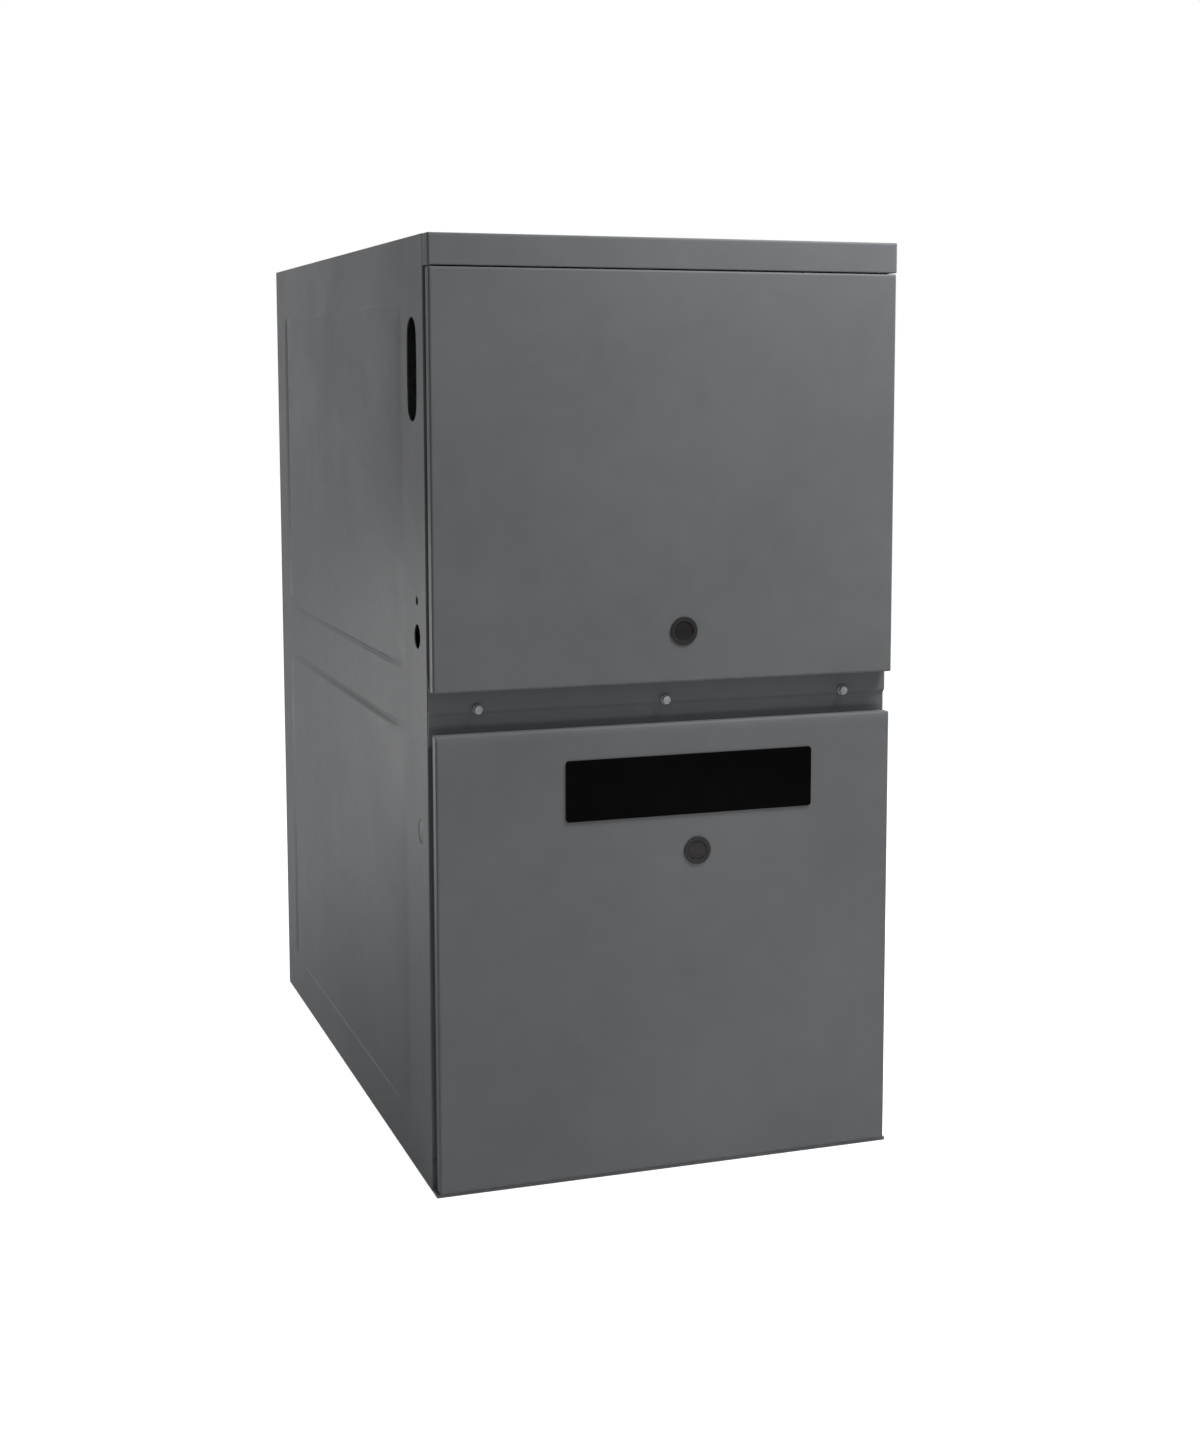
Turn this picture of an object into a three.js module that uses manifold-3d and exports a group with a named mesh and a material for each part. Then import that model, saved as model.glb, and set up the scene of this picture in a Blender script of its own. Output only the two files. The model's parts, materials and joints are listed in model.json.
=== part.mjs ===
// Forced air gas furnace: a sheet metal cabinet with two lift-off doors, a blower compartment
// below and a burner vestibule with a tubular heat exchanger above.
// Millimetres, +X to the right, +Y to the back, +Z up. The origin is the centre of the base.
import * as THREE from "three";
import { mergeVertices } from "three/addons/utils/BufferGeometryUtils.js";
import Module from "manifold-3d";

const wasm = await Module();
wasm.setup();

// ---------------------------------------------------------------- driving dimensions
// Casing
const WIDTH = 444.5;
const CASING_DEPTH = 717;
const HEIGHT = 856;
const SHEET = 1;
const ROOT = 0.5; // how far a raised detail is sunk into the body that carries it
const GAP = 0.3; // between neighbouring pieces
const SIDE_FLANGE = 22; // return of a side panel at the front and at the back
const DUCT_FLANGE = 25; // flat flange round the supply and return openings
const SKIRT = 14; // turned edge of an inner panel
const SHAFT_Z = 216; // blower shaft above the floor
const SHAFT_BELOW_DECK = 236;
const DECK_RISE = 32; // deck above the lower door's head

// Raised fields on the side panels
const FIELD_RISE = 2;
const FIELD_SLOPE = 5;
const FIELD_CORNER = 14;
const FIELD_FRONT = 96; // from the door faces
const FIELD_BACK_MARGIN = 70; // from the back of the casing
const FIELD_TOP_MARGIN = 52;
const FIELD_FOOT_MARGIN = 46;
const FIELD_ABOVE_JOINT = 8; // from the upper door's foot
const FIELD_BELOW_JOINT = 6; // from the lower door's head

// Doors, rail and channel on the front
const DOOR_STAND = 19; // door faces in front of the casing
const PLATE_THICKNESS = 1.2;
const CHANNEL_HEIGHT = 38;
const CHANNEL_LAP = 12; // hidden behind each door
const CHANNEL_STEP = 3; // the lower half of the channel lies deeper
const TOP_RAIL_HEIGHT = 27.5;
const DOOR_GAP = 1; // between the upper door and the rail
const GASKET = 5.4;
const GASKET_WIDTH = 9;
const GASKET_INSET = 4;
const UPPER_DOOR_INSET = 0.6; // from the casing sides
const LOWER_DOOR_INSET = 2.4;
const DOOR_EDGE = 2; // slope round a door face
const LOWER_DOOR_BEVEL = 8; // slope along the top of the lower door
const DOOR_FLANGE = 18;
const LEDGE = 3; // hem that the lower door stands on
const BASE_RAIL_HEIGHT = 30;
const LINER = 8;
const LINER_MARGIN = 26;
const LINER_HOLE_RADIUS = 15;

// View ports and plate
const PORT_RADIUS = 13;
const PORT_HOLE_RADIUS = 10.5;
const PORT_GLASS_RADIUS = 8.6;
const PORT_PROUD = 0.9;
const PORT_BACK = 3; // end of the grommet behind the face
const PORT_LIP = 1; // holds the glass
const PORT_SIDES = 12;
const UPPER_PORT_X = 12.6;
const UPPER_PORT_RISE = 46.5; // above the upper door's foot
const LOWER_PORT_X = 26.3;
const LOWER_PORT_DROP = 119; // below the lower door's head
const PLATE_WIDTH = 240;
const PLATE_HEIGHT = 56;
const PLATE_CENTRE_X = 19.5;
const PLATE_DROP = 56.5; // its middle below the lower door's head
const PLATE_CORNER = 3;

// Openings in the side panels, behind the door faces
const SLOT_FROM_FACE = 62;
const SLOT_FROM_TOP = 116;
const SLOT_WIDTH = 36;
const SLOT_HEIGHT = 92;
const ENTRY_RADIUS = 11;
const ENTRY_FROM_FACE = 52.5;
const ENTRY_RISE = 45; // above the upper door's foot
const WIRE_HOLE_RADIUS = 4;
const WIRE_HOLE_RISE = 77;
const KNOCKOUT_FROM_FACE = 46;
const KNOCKOUT_DROP = 93; // below the lower door's head
const KNOCKOUT_DEPTH = 0.5;

// Channel screws
const SCREW_SIDE_MARGIN = 44.75; // from the casing side to the outer screws
const SCREW_RISE = 20.5; // above the lower door's head
const SCREW_FLANGE_RADIUS = 6;
const SCREW_FLANGE = 1.2;
const SCREW_HEX_RADIUS = 4.6;
const SCREW_HEAD = 4.4;
const SCREW_SHANK_RADIUS = 2;
const SCREW_LENGTH = 12;

// Heat exchanger and burners
const VESTIBULE_DEPTH = 165;
const TUBE_COUNT = 4;
const TUBE_PITCH = 76;
const TUBE_RADIUS = 22;
const TUBE_WALL = 1.5;
const TUBE_SIDES = 8;
const BEND_STEPS = 4;
const PASS_COUNT = 4;
const SUPPLY_SPACE = 95.5; // over the highest pass
const TUBE_BACK_MARGIN = 34; // from the outermost bend to the back panel
const TUBE_FRONT_MARGIN = 14; // from the inner bend to the vestibule panel
const TUBE_PROUD = 3; // through the vestibule panel
const BURNER_LENGTH = 95;
const BURNER_HEAD_GAP = 10;
const BURNER_BELL_RADIUS = 16;
const BURNER_THROAT_RADIUS = 9;
const BURNER_HEAD_RADIUS = 15;
const BURNER_WALL = 1;
const BELL_TAPER = 3;
const BELL_LENGTH = 8;
const THROAT_FROM = 24; // from the bell's mouth
const THROAT_TO = 34;
const HEAD_TAPER = 2;
const HEAD_LENGTH = 16;
const HEAD_SHOULDER = 22;
const BURNER_SIDES = 8;
const BOX_SIDE_MARGIN = 20;
const BOX_HEIGHT = 56;
const CRADLE_SHARE = 0.85; // height of the rear cross plate in the box's height
const CRADLE = 26; // cross plates of the burner box, in from each burner end
const SPUD = 12;
const SPUD_RADIUS = 5;
const SPUD_ROOT = 2; // sunk into the pipe
const ORIFICE_RADIUS = 1;
const ORIFICE_LENGTH = 8;
const SPUD_CLEARANCE = 2; // to the burner
const PIPE_END = 8; // past the last spud
const BRACE_WIDTH = 18;
const BRACE_HEIGHT = 24;
const BRACE_THICKNESS = 3;
const PIPE_RADIUS = 10.5;
const ELBOW_RADIUS = 24;

// Gas valve
const VALVE_FROM_SIDE = 50.25;
const VALVE_RISE = 70; // above the manifold
const VALVE_SIZE = [82, 56, 88];
const VALVE_CHAMFER = 6;
const VALVE_BOSS_RADIUS = 17;
const VALVE_BOSS = 12;
const PIPE_THREAD_RADIUS = 10;
const THREAD_DEPTH = 6; // below the valve's top
const REGULATOR_RADIUS = 11;
const REGULATOR = 10;
const REGULATOR_X = 25.5;
const TERMINAL_BLOCK = [34, 7, 30];
const TERMINAL_BLOCK_SEAT = [4, 8];
const KNOB_X = -14;
const KNOB_Z = 58;
const KNOB_RADIUS = 12;
const KNOB_HEIGHT = 5;
const KNOB_PIN_RADIUS = 3;
const KNOB_PIN = 4;
const GRIP_WIDTH = 6;
const GRIP_HEIGHT = 4;
const GRIP_REACH = 3; // past the knob's rim

// Igniter and flame sensor
const IGNITER_BASE = [22, 13.7, 20];
const IGNITER_RISE = 2; // over the burner box
const PRONG_RADIUS = 1.6;
const PRONG_PLACE = 5;
const PRONG_FOOT = 8; // above the burner's middle
const ELEMENT = [13.2, 3.2, 4];
const SENSOR_BASE_RADIUS = 5;
const SENSOR_BASE = 24;
const SENSOR_TAB = [18, 2.7, 10];
const SENSOR_ROD_RADIUS = 1.4;
const SENSOR_ROD_FOOT = 2;
const SENSOR_CLEARANCE = 3; // over the tube's end
const PROBE_Y = -6;
const SENSOR_Y = -6.5;

// Flue side
const COLLECTOR_DEPTH = 42;
const COLLECTOR_MARGIN = 10;
const INDUCER_X = 36;
const INDUCER_WIDTH = 46;
const INDUCER_WHEEL_RADIUS = 50;
const INDUCER_START = 56;
const INDUCER_END = 74;
const INDUCER_TURN = 220; // degrees
const INDUCER_WALL = 1.5;
const INDUCER_INLET_RADIUS = 26;
const INDUCER_BLADES = 12;
const INDUCER_BLADE = 1.4;
const INDUCER_PLATE = 1.5;
const INDUCER_PLAY = 4; // wheel to housing along the shaft
const INDUCER_WHEEL_WIDTH = 31;
const INDUCER_HUB_RADIUS = 9;
const INDUCER_HUB = [2, 14]; // in front of and behind the plate's face
const INDUCER_SHAFT = 16; // past the housing into the motor
const INDUCER_SHAFT_RADIUS = 4;
const SHAFT_PLAY = 2;
const MOTOR_FLANGE = 10;
const MOTOR_FLANGE_THICKNESS = 2;
const MOTOR_STEPS = [12, 3]; // from its outer end
const MOTOR_TAPERS = [6, 14];
const INDUCER_MOTOR_RADIUS = 40;
const INDUCER_MOTOR_LENGTH = 48;
const VENT_RADIUS = 50.8;
const VENT_COLLAR_HEIGHT = 34;
const VENT_PLAY = 4; // round the collar in the top

// Safety switches
const DISC_RADIUS = 12;
const DISC_HEIGHT = 7;
const BUTTON_RADIUS = 2.2;
const BUTTON_LENGTH = 7;
const BUTTON_TRAVEL = 1.5;
const DISC_FOOT = [1.2, 36, 14]; // thickness, length and height
const DISC_TABS = [7, 1, 6];
const DISC_TAB_PLACE = 8;
const ROLLOUT_Y = -62;
const ROLLOUT_Z = 8;
const LIMIT_BULB_RADIUS = 6;
const LIMIT_BULB = 26;
const LIMIT_PLATE = [40, 2, 18];
const LIMIT_CUP = 12;
const PRESSURE_RADIUS = 36;
const PRESSURE_DEPTH = 28;
const PRESSURE_STEPS = [8, 10, 14, 16]; // from its back to the rim and past it
const PRESSURE_TAPERS = [8, 4, 5, 14]; // off its radius
const HOSE_RADIUS = 4;
const HOSE_STRAIGHT = 4; // before the first bend at its upper end
const HOSE_BEND = 33;
const NIPPLE_RADIUS = 2.4;
const NIPPLE = 5;
const PRESSURE_FOOT = 6;
const PRESSURE_PLATE = [52, 32];
const PRESSURE_X = -62;
const NIPPLE_X = -70;

// Blower
const DECK_APRON = 26;
const BLOWER_FROM_CASE = 408; // shaft behind the casing front
const WHEEL_RADIUS = 127;
const WHEEL_WIDTH = 203;
const BLADE_COUNT = 30;
const BLADE_CHORD = 20;
const BLADE_THICKNESS = 1;
const BLADE_LEAN = 8;
const RING_WIDTH = 6;
const RING_DEPTH = 5;
const SCROLL_START = 140;
const SCROLL_END = 200;
const SCROLL_TURN = 240; // degrees from the cut-off to the outlet wall
const SCROLL_CLEARANCE = 14; // wheel to side plate
const INLET_RADIUS = 112;
const INLET_LIP = 9;
const INLET_SIDES = 20;
const MOTOR_RADIUS = 70;
const MOTOR_LENGTH = 130;
const MOTOR_INSET = 22; // from the wheel's centre plate
const SHAFT_RADIUS = 6.35;
const ARM_WIDTH = 22;
const ARM_THICKNESS = 3;
const BAND_WIDTH = 30;
const BLOWER_FLANGE = 14;
const RAIL_LIP = 10;
const OUTLET_LAP = 3; // of the deck over the outlet's walls
const INLET_STEPS = [3, -2, -6, -5]; // of the rolled lip off the inlet's radius
const HUB_RADIUS = 16;
const HUB_END = 14; // right of the wheel's middle
const SHAFT_END = 18;
const SHAFT_IN_MOTOR = 30;
const PLATE_LAP = 4; // of the centre plate on the blades
const MOTOR_NOSE = [22, 24]; // radii of the bearing boss
const MOTOR_CAP = [6, 9, 17]; // depths of the boss, the shoulder and the rounding
const MOTOR_ROUND = 8;
const BAND_THICKNESS = 2;
const ARM_LAP = 18; // of an arm past the inlet's rim
const ARM_ANGLES = [30, 150, 270];

// Controls in the blower compartment
const BRACKET_SET_BACK = 34; // behind the casing front
const BRACKET_WIDTH = 244;
const BRACKET_CENTRE_X = -10;
const BRACKET_HEIGHT = 220;
const BOARD_WIDTH = 150;
const BOARD_MARGIN = 10; // to the bracket's right edge
const BOARD_BELOW_DECK = [210, 80];
const BOARD_EDGE = 8; // to the standoffs, the terminals and the plug
const STANDOFF_RADIUS = 3;
const RELAY = [28, 20, 17]; // width, height and depth, as for the parts below
const RELAY_PITCH = 34;
const RELAY_MARGIN = 14;
const TERMINALS = [110, 12, 11];
const BOARD_PLUG = [14, 44, 12];
const FUSE_BLOCK = [12, 22, 9];
const CHIP = [24, 10, 4];
const CHIP_SEAT = [38, 34];
const PARTS_RISE = 40; // plug and fuse above the board's foot
const LAMP_RADIUS = 3;
const LAMP_DEPTH = 6;
const BOARD_STANDOFF = 9;
const BOARD_THICKNESS = 1.6;
const TRANSFORMER_MARGIN = 42; // its middle from the bracket's left edge
const CORE_SIZE = [60, 30, 50];
const COIL_SIZE = [36, 43, 36];
const CORE_SET_OUT = 8; // from the bracket
const FOOT_SIZE = [68, 2, 40];
const LEG_SPAN = [28, 30];
const LEG_LENGTH = 10;
const TRANSFORMER_BELOW_DECK = 152;
const DOOR_SWITCH_FROM_SIDE = 70.25;
const DOOR_SWITCH_BELOW_DECK = 64;
const DOOR_SWITCH_SIZE = [16, 32, 28];
const SWITCH_STRAP = [32, 1.5];
const PLUNGER_RADIUS = 3;
const PLUNGER_TRAVEL = 4;
const PLUNGER_SEAT = 17; // its inner end behind the switch's face
const CAPACITOR_RADIUS = 22;
const CAPACITOR_HEIGHT = 76;
const CAPACITOR_BACK = 150; // from the blower shaft
const CAPACITOR_RISE = 130;
const STRAP_RISE = 28;
const STRAP_WIDTH = 18;
const STRAP_FOOT = [2, 16]; // thickness and reach past the can
const TAB = [6, 1, 9];
const TAB_PLACE = 7;
const CAP_INSET = 3;
const JUNCTION_SIZE = [46, 54, 98];
const JUNCTION_COVER = [2.5, 3]; // thickness and overhang
const GLAND_RADIUS = 9;
const GLAND = 8;

// ---------------------------------------------------------------- derived places
const HALF = WIDTH / 2;
const BACK_Y = (CASING_DEPTH + DOOR_STAND + PLATE_THICKNESS) / 2;
const CASE_Y = BACK_Y - CASING_DEPTH;
const FACE_Y = CASE_Y - DOOR_STAND;
const RING_Y = CASE_Y - GAP - SHEET; // front of the channel and the base rail
const DOOR_BACK_Y = RING_Y - GAP - GASKET;
const INSIDE_X = HALF - SHEET - GAP;
const INSIDE_FRONT_Y = CASE_Y + SHEET + GAP;
const INSIDE_BACK_Y = BACK_Y - 2 * (SHEET + GAP);
const DECK_Z = SHAFT_Z + SHAFT_BELOW_DECK;
const LOWER_DOOR_TOP_Z = DECK_Z - DECK_RISE;
const UPPER_DOOR_BOTTOM_Z = LOWER_DOOR_TOP_Z + CHANNEL_HEIGHT;
const RAIL_BOTTOM_Z = HEIGHT - TOP_RAIL_HEIGHT;
const UPPER_PORT = [UPPER_PORT_X, UPPER_DOOR_BOTTOM_Z + UPPER_PORT_RISE];
const LOWER_PORT = [LOWER_PORT_X, LOWER_DOOR_TOP_Z - LOWER_PORT_DROP];
const UPPER_FIELD_Z = [UPPER_DOOR_BOTTOM_Z + FIELD_ABOVE_JOINT, HEIGHT - FIELD_TOP_MARGIN];
const LOWER_FIELD_Z = [FIELD_FOOT_MARGIN, LOWER_DOOR_TOP_Z - FIELD_BELOW_JOINT];
const SCREW_Z = LOWER_DOOR_TOP_Z + SCREW_RISE;
const SCREW_X = [SCREW_SIDE_MARGIN - HALF, 0, HALF - SCREW_SIDE_MARGIN];
const PANEL_Y = CASE_Y + VESTIBULE_DEPTH;
const BURNER_Z = UPPER_PORT[1];
const BLOWER_Y = CASE_Y + BLOWER_FROM_CASE;
const TOP_PASS = HEIGHT - SUPPLY_SPACE - TUBE_RADIUS - BURNER_Z;
const PASS_PITCH = TOP_PASS / (PASS_COUNT - 1);
const VALVE_X = VALVE_FROM_SIDE - HALF;
const HOUSING_HALF = WHEEL_WIDTH / 2 + SCROLL_CLEARANCE;
const TUBE_X = Array.from({ length: TUBE_COUNT }, (_, i) => (i - (TUBE_COUNT - 1) / 2) * TUBE_PITCH);
const BURNER_FRONT = -(BURNER_HEAD_GAP + BURNER_LENGTH);
const MANIFOLD_Y = BURNER_FRONT - SPUD_CLEARANCE - SPUD - PIPE_RADIUS;
const BOX_HALF = TUBE_X[TUBE_COUNT - 1] + BURNER_BELL_RADIUS + BOX_SIDE_MARGIN;
const BRACKET_X = [BRACKET_CENTRE_X - BRACKET_WIDTH / 2, BRACKET_CENTRE_X + BRACKET_WIDTH / 2];
const BOARD_X = [BRACKET_X[1] - BOARD_MARGIN - BOARD_WIDTH, BRACKET_X[1] - BOARD_MARGIN];
const BOARD_Z = BOARD_BELOW_DECK.map((drop) => DECK_Z - drop);
const DOOR_SWITCH_X = HALF - DOOR_SWITCH_FROM_SIDE;
const DOOR_SWITCH_Z = DECK_Z - DOOR_SWITCH_BELOW_DECK;
const KNOCKOUT_Z = LOWER_DOOR_TOP_Z - KNOCKOUT_DROP;
const COLLECTOR_HALF_X = TUBE_X[TUBE_COUNT - 1] + TUBE_RADIUS + COLLECTOR_MARGIN;
const COLLECTOR_HALF_Z = TUBE_RADIUS + COLLECTOR_MARGIN;
const INDUCER_Y = -(GAP + COLLECTOR_DEPTH + GAP); // back of the inducer housing
const OUTLET_CENTRE = INDUCER_END - INDUCER_WIDTH / 2;
const VENT_TOP = HEIGHT - SHEET - BURNER_Z - TOP_PASS;
const DEGREES = Math.PI / 180;
const GRID = 1024; // places are rounded to this part of a millimetre, so that shared faces meet

// ---------------------------------------------------------------- geometry helpers
// A closed geometry as a solid that faces out, whichever way its profile ran.
function solid(geometry) {
  const bare = geometry.index ? geometry.toNonIndexed() : geometry.clone();
  bare.deleteAttribute("normal");
  bare.deleteAttribute("uv");
  const place = bare.attributes.position;
  place.array.forEach((value, i) => (place.array[i] = Math.round(value * GRID) / GRID));
  const merged = mergeVertices(bare, 1e-4);
  const build = (triVerts) =>
    new wasm.Manifold(
      new wasm.Mesh({ numProp: 3, vertProperties: merged.attributes.position.array, triVerts }),
    );
  const triangles = new Uint32Array(merged.index.array);
  const body = build(triangles);
  return body.volume() > 0 ? body : build(triangles.slice().reverse());
}

function geometryOf(body) {
  const mesh = body.getMesh();
  const geometry = new THREE.BufferGeometry();
  geometry.setAttribute("position", new THREE.BufferAttribute(mesh.vertProperties.slice(), 3));
  geometry.setIndex(new THREE.BufferAttribute(mesh.triVerts.slice(), 1));
  geometry.computeVertexNormals();
  return geometry;
}

const join = (...bodies) => bodies.reduce((all, body) => all.add(body));

const shrink = ([low, high], by) => [low + by, high - by];

// A block between two opposite corners.
function block([x0, x1], [y0, y1], [z0, z1]) {
  const geometry = new THREE.BoxGeometry(x1 - x0, y1 - y0, z1 - z0);
  return solid(geometry.translate((x0 + x1) / 2, (y0 + y1) / 2, (z0 + z1) / 2));
}

const BASIS = {
  x: [new THREE.Vector3(0, 1, 0), new THREE.Vector3(0, 0, 1), new THREE.Vector3(1, 0, 0)],
  y: [new THREE.Vector3(0, 0, 1), new THREE.Vector3(1, 0, 0), new THREE.Vector3(0, 1, 0)],
  z: [new THREE.Vector3(1, 0, 0), new THREE.Vector3(0, 1, 0), new THREE.Vector3(0, 0, 1)],
};

// Turns a geometry made along +Z so that it runs along another axis.
const along = (geometry, axis) =>
  geometry.applyMatrix4(new THREE.Matrix4().makeBasis(...BASIS[axis]));

// A prism: its outline lies across the axis, as (y, z) for x, (z, x) for y and (x, y) for z.
function prism(axis, outline, from, to, segments = 2) {
  const points = () => outline.map(([a, b]) => new THREE.Vector2(a, b));
  const shape = outline instanceof THREE.Shape ? outline : new THREE.Shape(points());
  const options = { depth: to - from, bevelEnabled: false, curveSegments: segments };
  return solid(along(new THREE.ExtrudeGeometry(shape, options).translate(0, 0, from), axis));
}

// A rod along an axis through (a, b), the two coordinates in the prism's order.
function rod(axis, radius, from, to, [a, b] = [0, 0], sides = 16) {
  const geometry = new THREE.CylinderGeometry(radius, radius, to - from, sides);
  geometry.rotateX(Math.PI / 2).translate(a, b, (from + to) / 2);
  return solid(along(geometry, axis));
}

// A turned body round an axis: profile points are (radius, place along the axis).
function turned(axis, profile, sides = 24) {
  const closed = [...profile, profile[0]].map(([r, h]) => new THREE.Vector2(r, h));
  return solid(along(new THREE.LatheGeometry(closed, sides).rotateX(Math.PI / 2), axis));
}

// An outline with round corners, in the prism's order.
function roundedOutline([a0, a1], [b0, b1], radius) {
  const shape = new THREE.Shape();
  shape.absarc(a1 - radius, b0 + radius, radius, -Math.PI / 2, 0);
  shape.absarc(a1 - radius, b1 - radius, radius, 0, Math.PI / 2);
  shape.absarc(a0 + radius, b1 - radius, radius, Math.PI / 2, Math.PI);
  shape.absarc(a0 + radius, b0 + radius, radius, Math.PI, 1.5 * Math.PI);
  return shape;
}

function rectangle([a0, a1], [b0, b1]) {
  const corners = [[a0, b0], [a1, b0], [a1, b1], [a0, b1]];
  return new THREE.Shape(corners.map(([a, b]) => new THREE.Vector2(a, b)));
}

// A prism whose near end is drawn in, by an amount of its own for each side of the outline.
function tapered(axis, shape, from, to, [[a0, a1], [b0, b1]]) {
  const options = { depth: to - from, bevelEnabled: false, curveSegments: 1 };
  const geometry = new THREE.ExtrudeGeometry(shape, options);
  geometry.computeBoundingBox();
  const centre = geometry.boundingBox.getCenter(new THREE.Vector3());
  const place = geometry.attributes.position;
  for (let i = 0; i < place.count; i++) {
    if (place.getZ(i) > centre.z) continue;
    place.setX(i, place.getX(i) + (place.getX(i) < centre.x ? a0 : -a1));
    place.setY(i, place.getY(i) + (place.getY(i) < centre.y ? b0 : -b1));
  }
  return solid(along(geometry.translate(0, 0, from), axis));
}

// A line of stations along a route, each a place and a direction, so that only bends get many rings.
class Route extends THREE.Curve {
  constructor(stations) {
    super();
    this.stations = stations;
  }
  at(share) {
    return this.stations[Math.round(share * (this.stations.length - 1))];
  }
  getPoint(share) {
    return this.at(share).place.clone();
  }
  getPointAt(share) {
    return this.at(share).place.clone();
  }
  getTangentAt(share) {
    return this.at(share).direction.clone();
  }
}

// Stations of a route that runs straight and bends in one plane: turns of [centre, radius, from, to].
function bendStations(centre, radius, from, to, steps, onPlane) {
  const sense = Math.sign(to - from);
  return Array.from({ length: steps + 1 }, (_, i) => {
    const angle = (from + ((to - from) * i) / steps) * DEGREES;
    const [a, b] = [centre[0] + radius * Math.cos(angle), centre[1] + radius * Math.sin(angle)];
    const heading = [-Math.sin(angle) * sense, Math.cos(angle) * sense];
    return { place: onPlane(a, b), direction: onPlane(...heading, true).normalize() };
  });
}

function sweep(route, radius, sides, bore = 0) {
  const section = new THREE.Shape().absarc(0, 0, radius, 0, 2 * Math.PI);
  if (bore) section.holes.push(new THREE.Path().absarc(0, 0, bore, 0, 2 * Math.PI, true));
  const options = { steps: route.stations.length - 1, extrudePath: route, curveSegments: sides / 2 };
  return solid(new THREE.ExtrudeGeometry(section, options));
}

// ---------------------------------------------------------------- materials
const surface = (color, roughness, metalness) =>
  new THREE.MeshStandardMaterial({ color, roughness, metalness });
const paint = surface(0x606264, 0.45, 0.2);
const galvanised = surface(0xb4b8ba, 0.4, 0.8);
const aluminised = surface(0x9a9c9b, 0.5, 0.8);
const darkSteel = surface(0x3b3d3f, 0.5, 0.6);
const blackPlastic = surface(0x1e1f20, 0.45, 0);
const blackRubber = surface(0x1b1b1b, 0.9, 0);
const foil = surface(0xc9cccd, 0.35, 0.9);
const darkGlass = surface(0x2a2826, 0.15, 0);
const zinc = surface(0xc8cac8, 0.35, 0.9);
const castAluminium = surface(0xa9abab, 0.5, 0.8);
const ceramic = surface(0xe6e2d8, 0.8, 0);
const redPlastic = surface(0xb3261e, 0.4, 0);
const boardGreen = surface(0x2f5b3c, 0.5, 0);
const blackPipe = surface(0x2c2c2c, 0.6, 0.5);

// ---------------------------------------------------------------- casing
// A raised field with sloping sides, standing out of the sheet whose outer face is at x.
function raisedField(span, x) {
  const y = [FACE_Y + FIELD_FRONT, BACK_Y - FIELD_BACK_MARGIN];
  const slope = [FIELD_SLOPE, FIELD_SLOPE];
  const outline = roundedOutline(y, span, FIELD_CORNER);
  return tapered("x", outline, x - FIELD_RISE, x + SHEET / 2, [slope, slope]);
}

// The left side panel: a sheet with two raised fields, returns front and back, and the side entries.
function sidePanel() {
  const left = -HALF;
  const rear = BACK_Y - SHEET - GAP;
  const profile = [
    [left, CASE_Y],
    [left + SIDE_FLANGE, CASE_Y],
    [left + SIDE_FLANGE, CASE_Y + SHEET],
    [left + SHEET, CASE_Y + SHEET],
    [left + SHEET, rear - SHEET],
    [left + SIDE_FLANGE, rear - SHEET],
    [left + SIDE_FLANGE, rear],
    [left, rear],
  ];
  let panel = prism("z", profile, 0, HEIGHT);
  for (const span of [UPPER_FIELD_Z, LOWER_FIELD_Z]) {
    panel = panel.add(raisedField(span, left));
    panel = panel.subtract(raisedField(span, left + SHEET));
  }
  const pierced = [left - SHEET, left + 2 * SHEET];
  const slotY = FACE_Y + SLOT_FROM_FACE;
  const slotSpan = [slotY - SLOT_WIDTH / 2, slotY + SLOT_WIDTH / 2];
  const slotRise = [HEIGHT - SLOT_FROM_TOP - SLOT_HEIGHT / 2, HEIGHT - SLOT_FROM_TOP + SLOT_HEIGHT / 2];
  const slot = prism("x", roundedOutline(slotSpan, slotRise, SLOT_WIDTH / 2), ...pierced);
  const entry = [FACE_Y + ENTRY_FROM_FACE, UPPER_DOOR_BOTTOM_Z + ENTRY_RISE];
  const wireHole = [entry[0], UPPER_DOOR_BOTTOM_Z + WIRE_HOLE_RISE];
  const knockout = [FACE_Y + KNOCKOUT_FROM_FACE, KNOCKOUT_Z];
  panel = panel.subtract(slot).subtract(rod("x", ENTRY_RADIUS, ...pierced, entry, 16));
  panel = panel.subtract(rod("x", WIRE_HOLE_RADIUS, ...pierced, wireHole, 8));
  return panel.subtract(rod("x", ENTRY_RADIUS, left - SHEET, left + KNOCKOUT_DEPTH, knockout, 16));
}

const rearPanel = () => block([-HALF, HALF], [BACK_Y - SHEET, BACK_Y], [0, HEIGHT]);

// A flat ring with an opening and turned edges, used for the top and for the base.
function openFrame(edgeZ, turn, openingY) {
  const z = [Math.min(edgeZ, edgeZ - turn * SHEET), Math.max(edgeZ, edgeZ - turn * SHEET)];
  const skirtZ = [Math.min(edgeZ, edgeZ - turn * SKIRT), Math.max(edgeZ, edgeZ - turn * SKIRT)];
  const x = [-INSIDE_X, INSIDE_X];
  const y = [INSIDE_FRONT_Y, INSIDE_BACK_Y];
  const openingX = [DUCT_FLANGE - HALF, HALF - DUCT_FLANGE];
  const outer = join(block(x, y, z), block(x, y, skirtZ));
  const inner = block([x[0] + SHEET, x[1] - SHEET], [y[0] + SHEET, y[1] - SHEET], [
    turn > 0 ? skirtZ[0] - SHEET : z[1],
    turn > 0 ? z[0] : skirtZ[1] + SHEET,
  ]);
  const opening = block(openingX, openingY, [skirtZ[0] - SHEET, skirtZ[1] + SHEET]);
  return outer.subtract(inner).subtract(opening);
}

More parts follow.
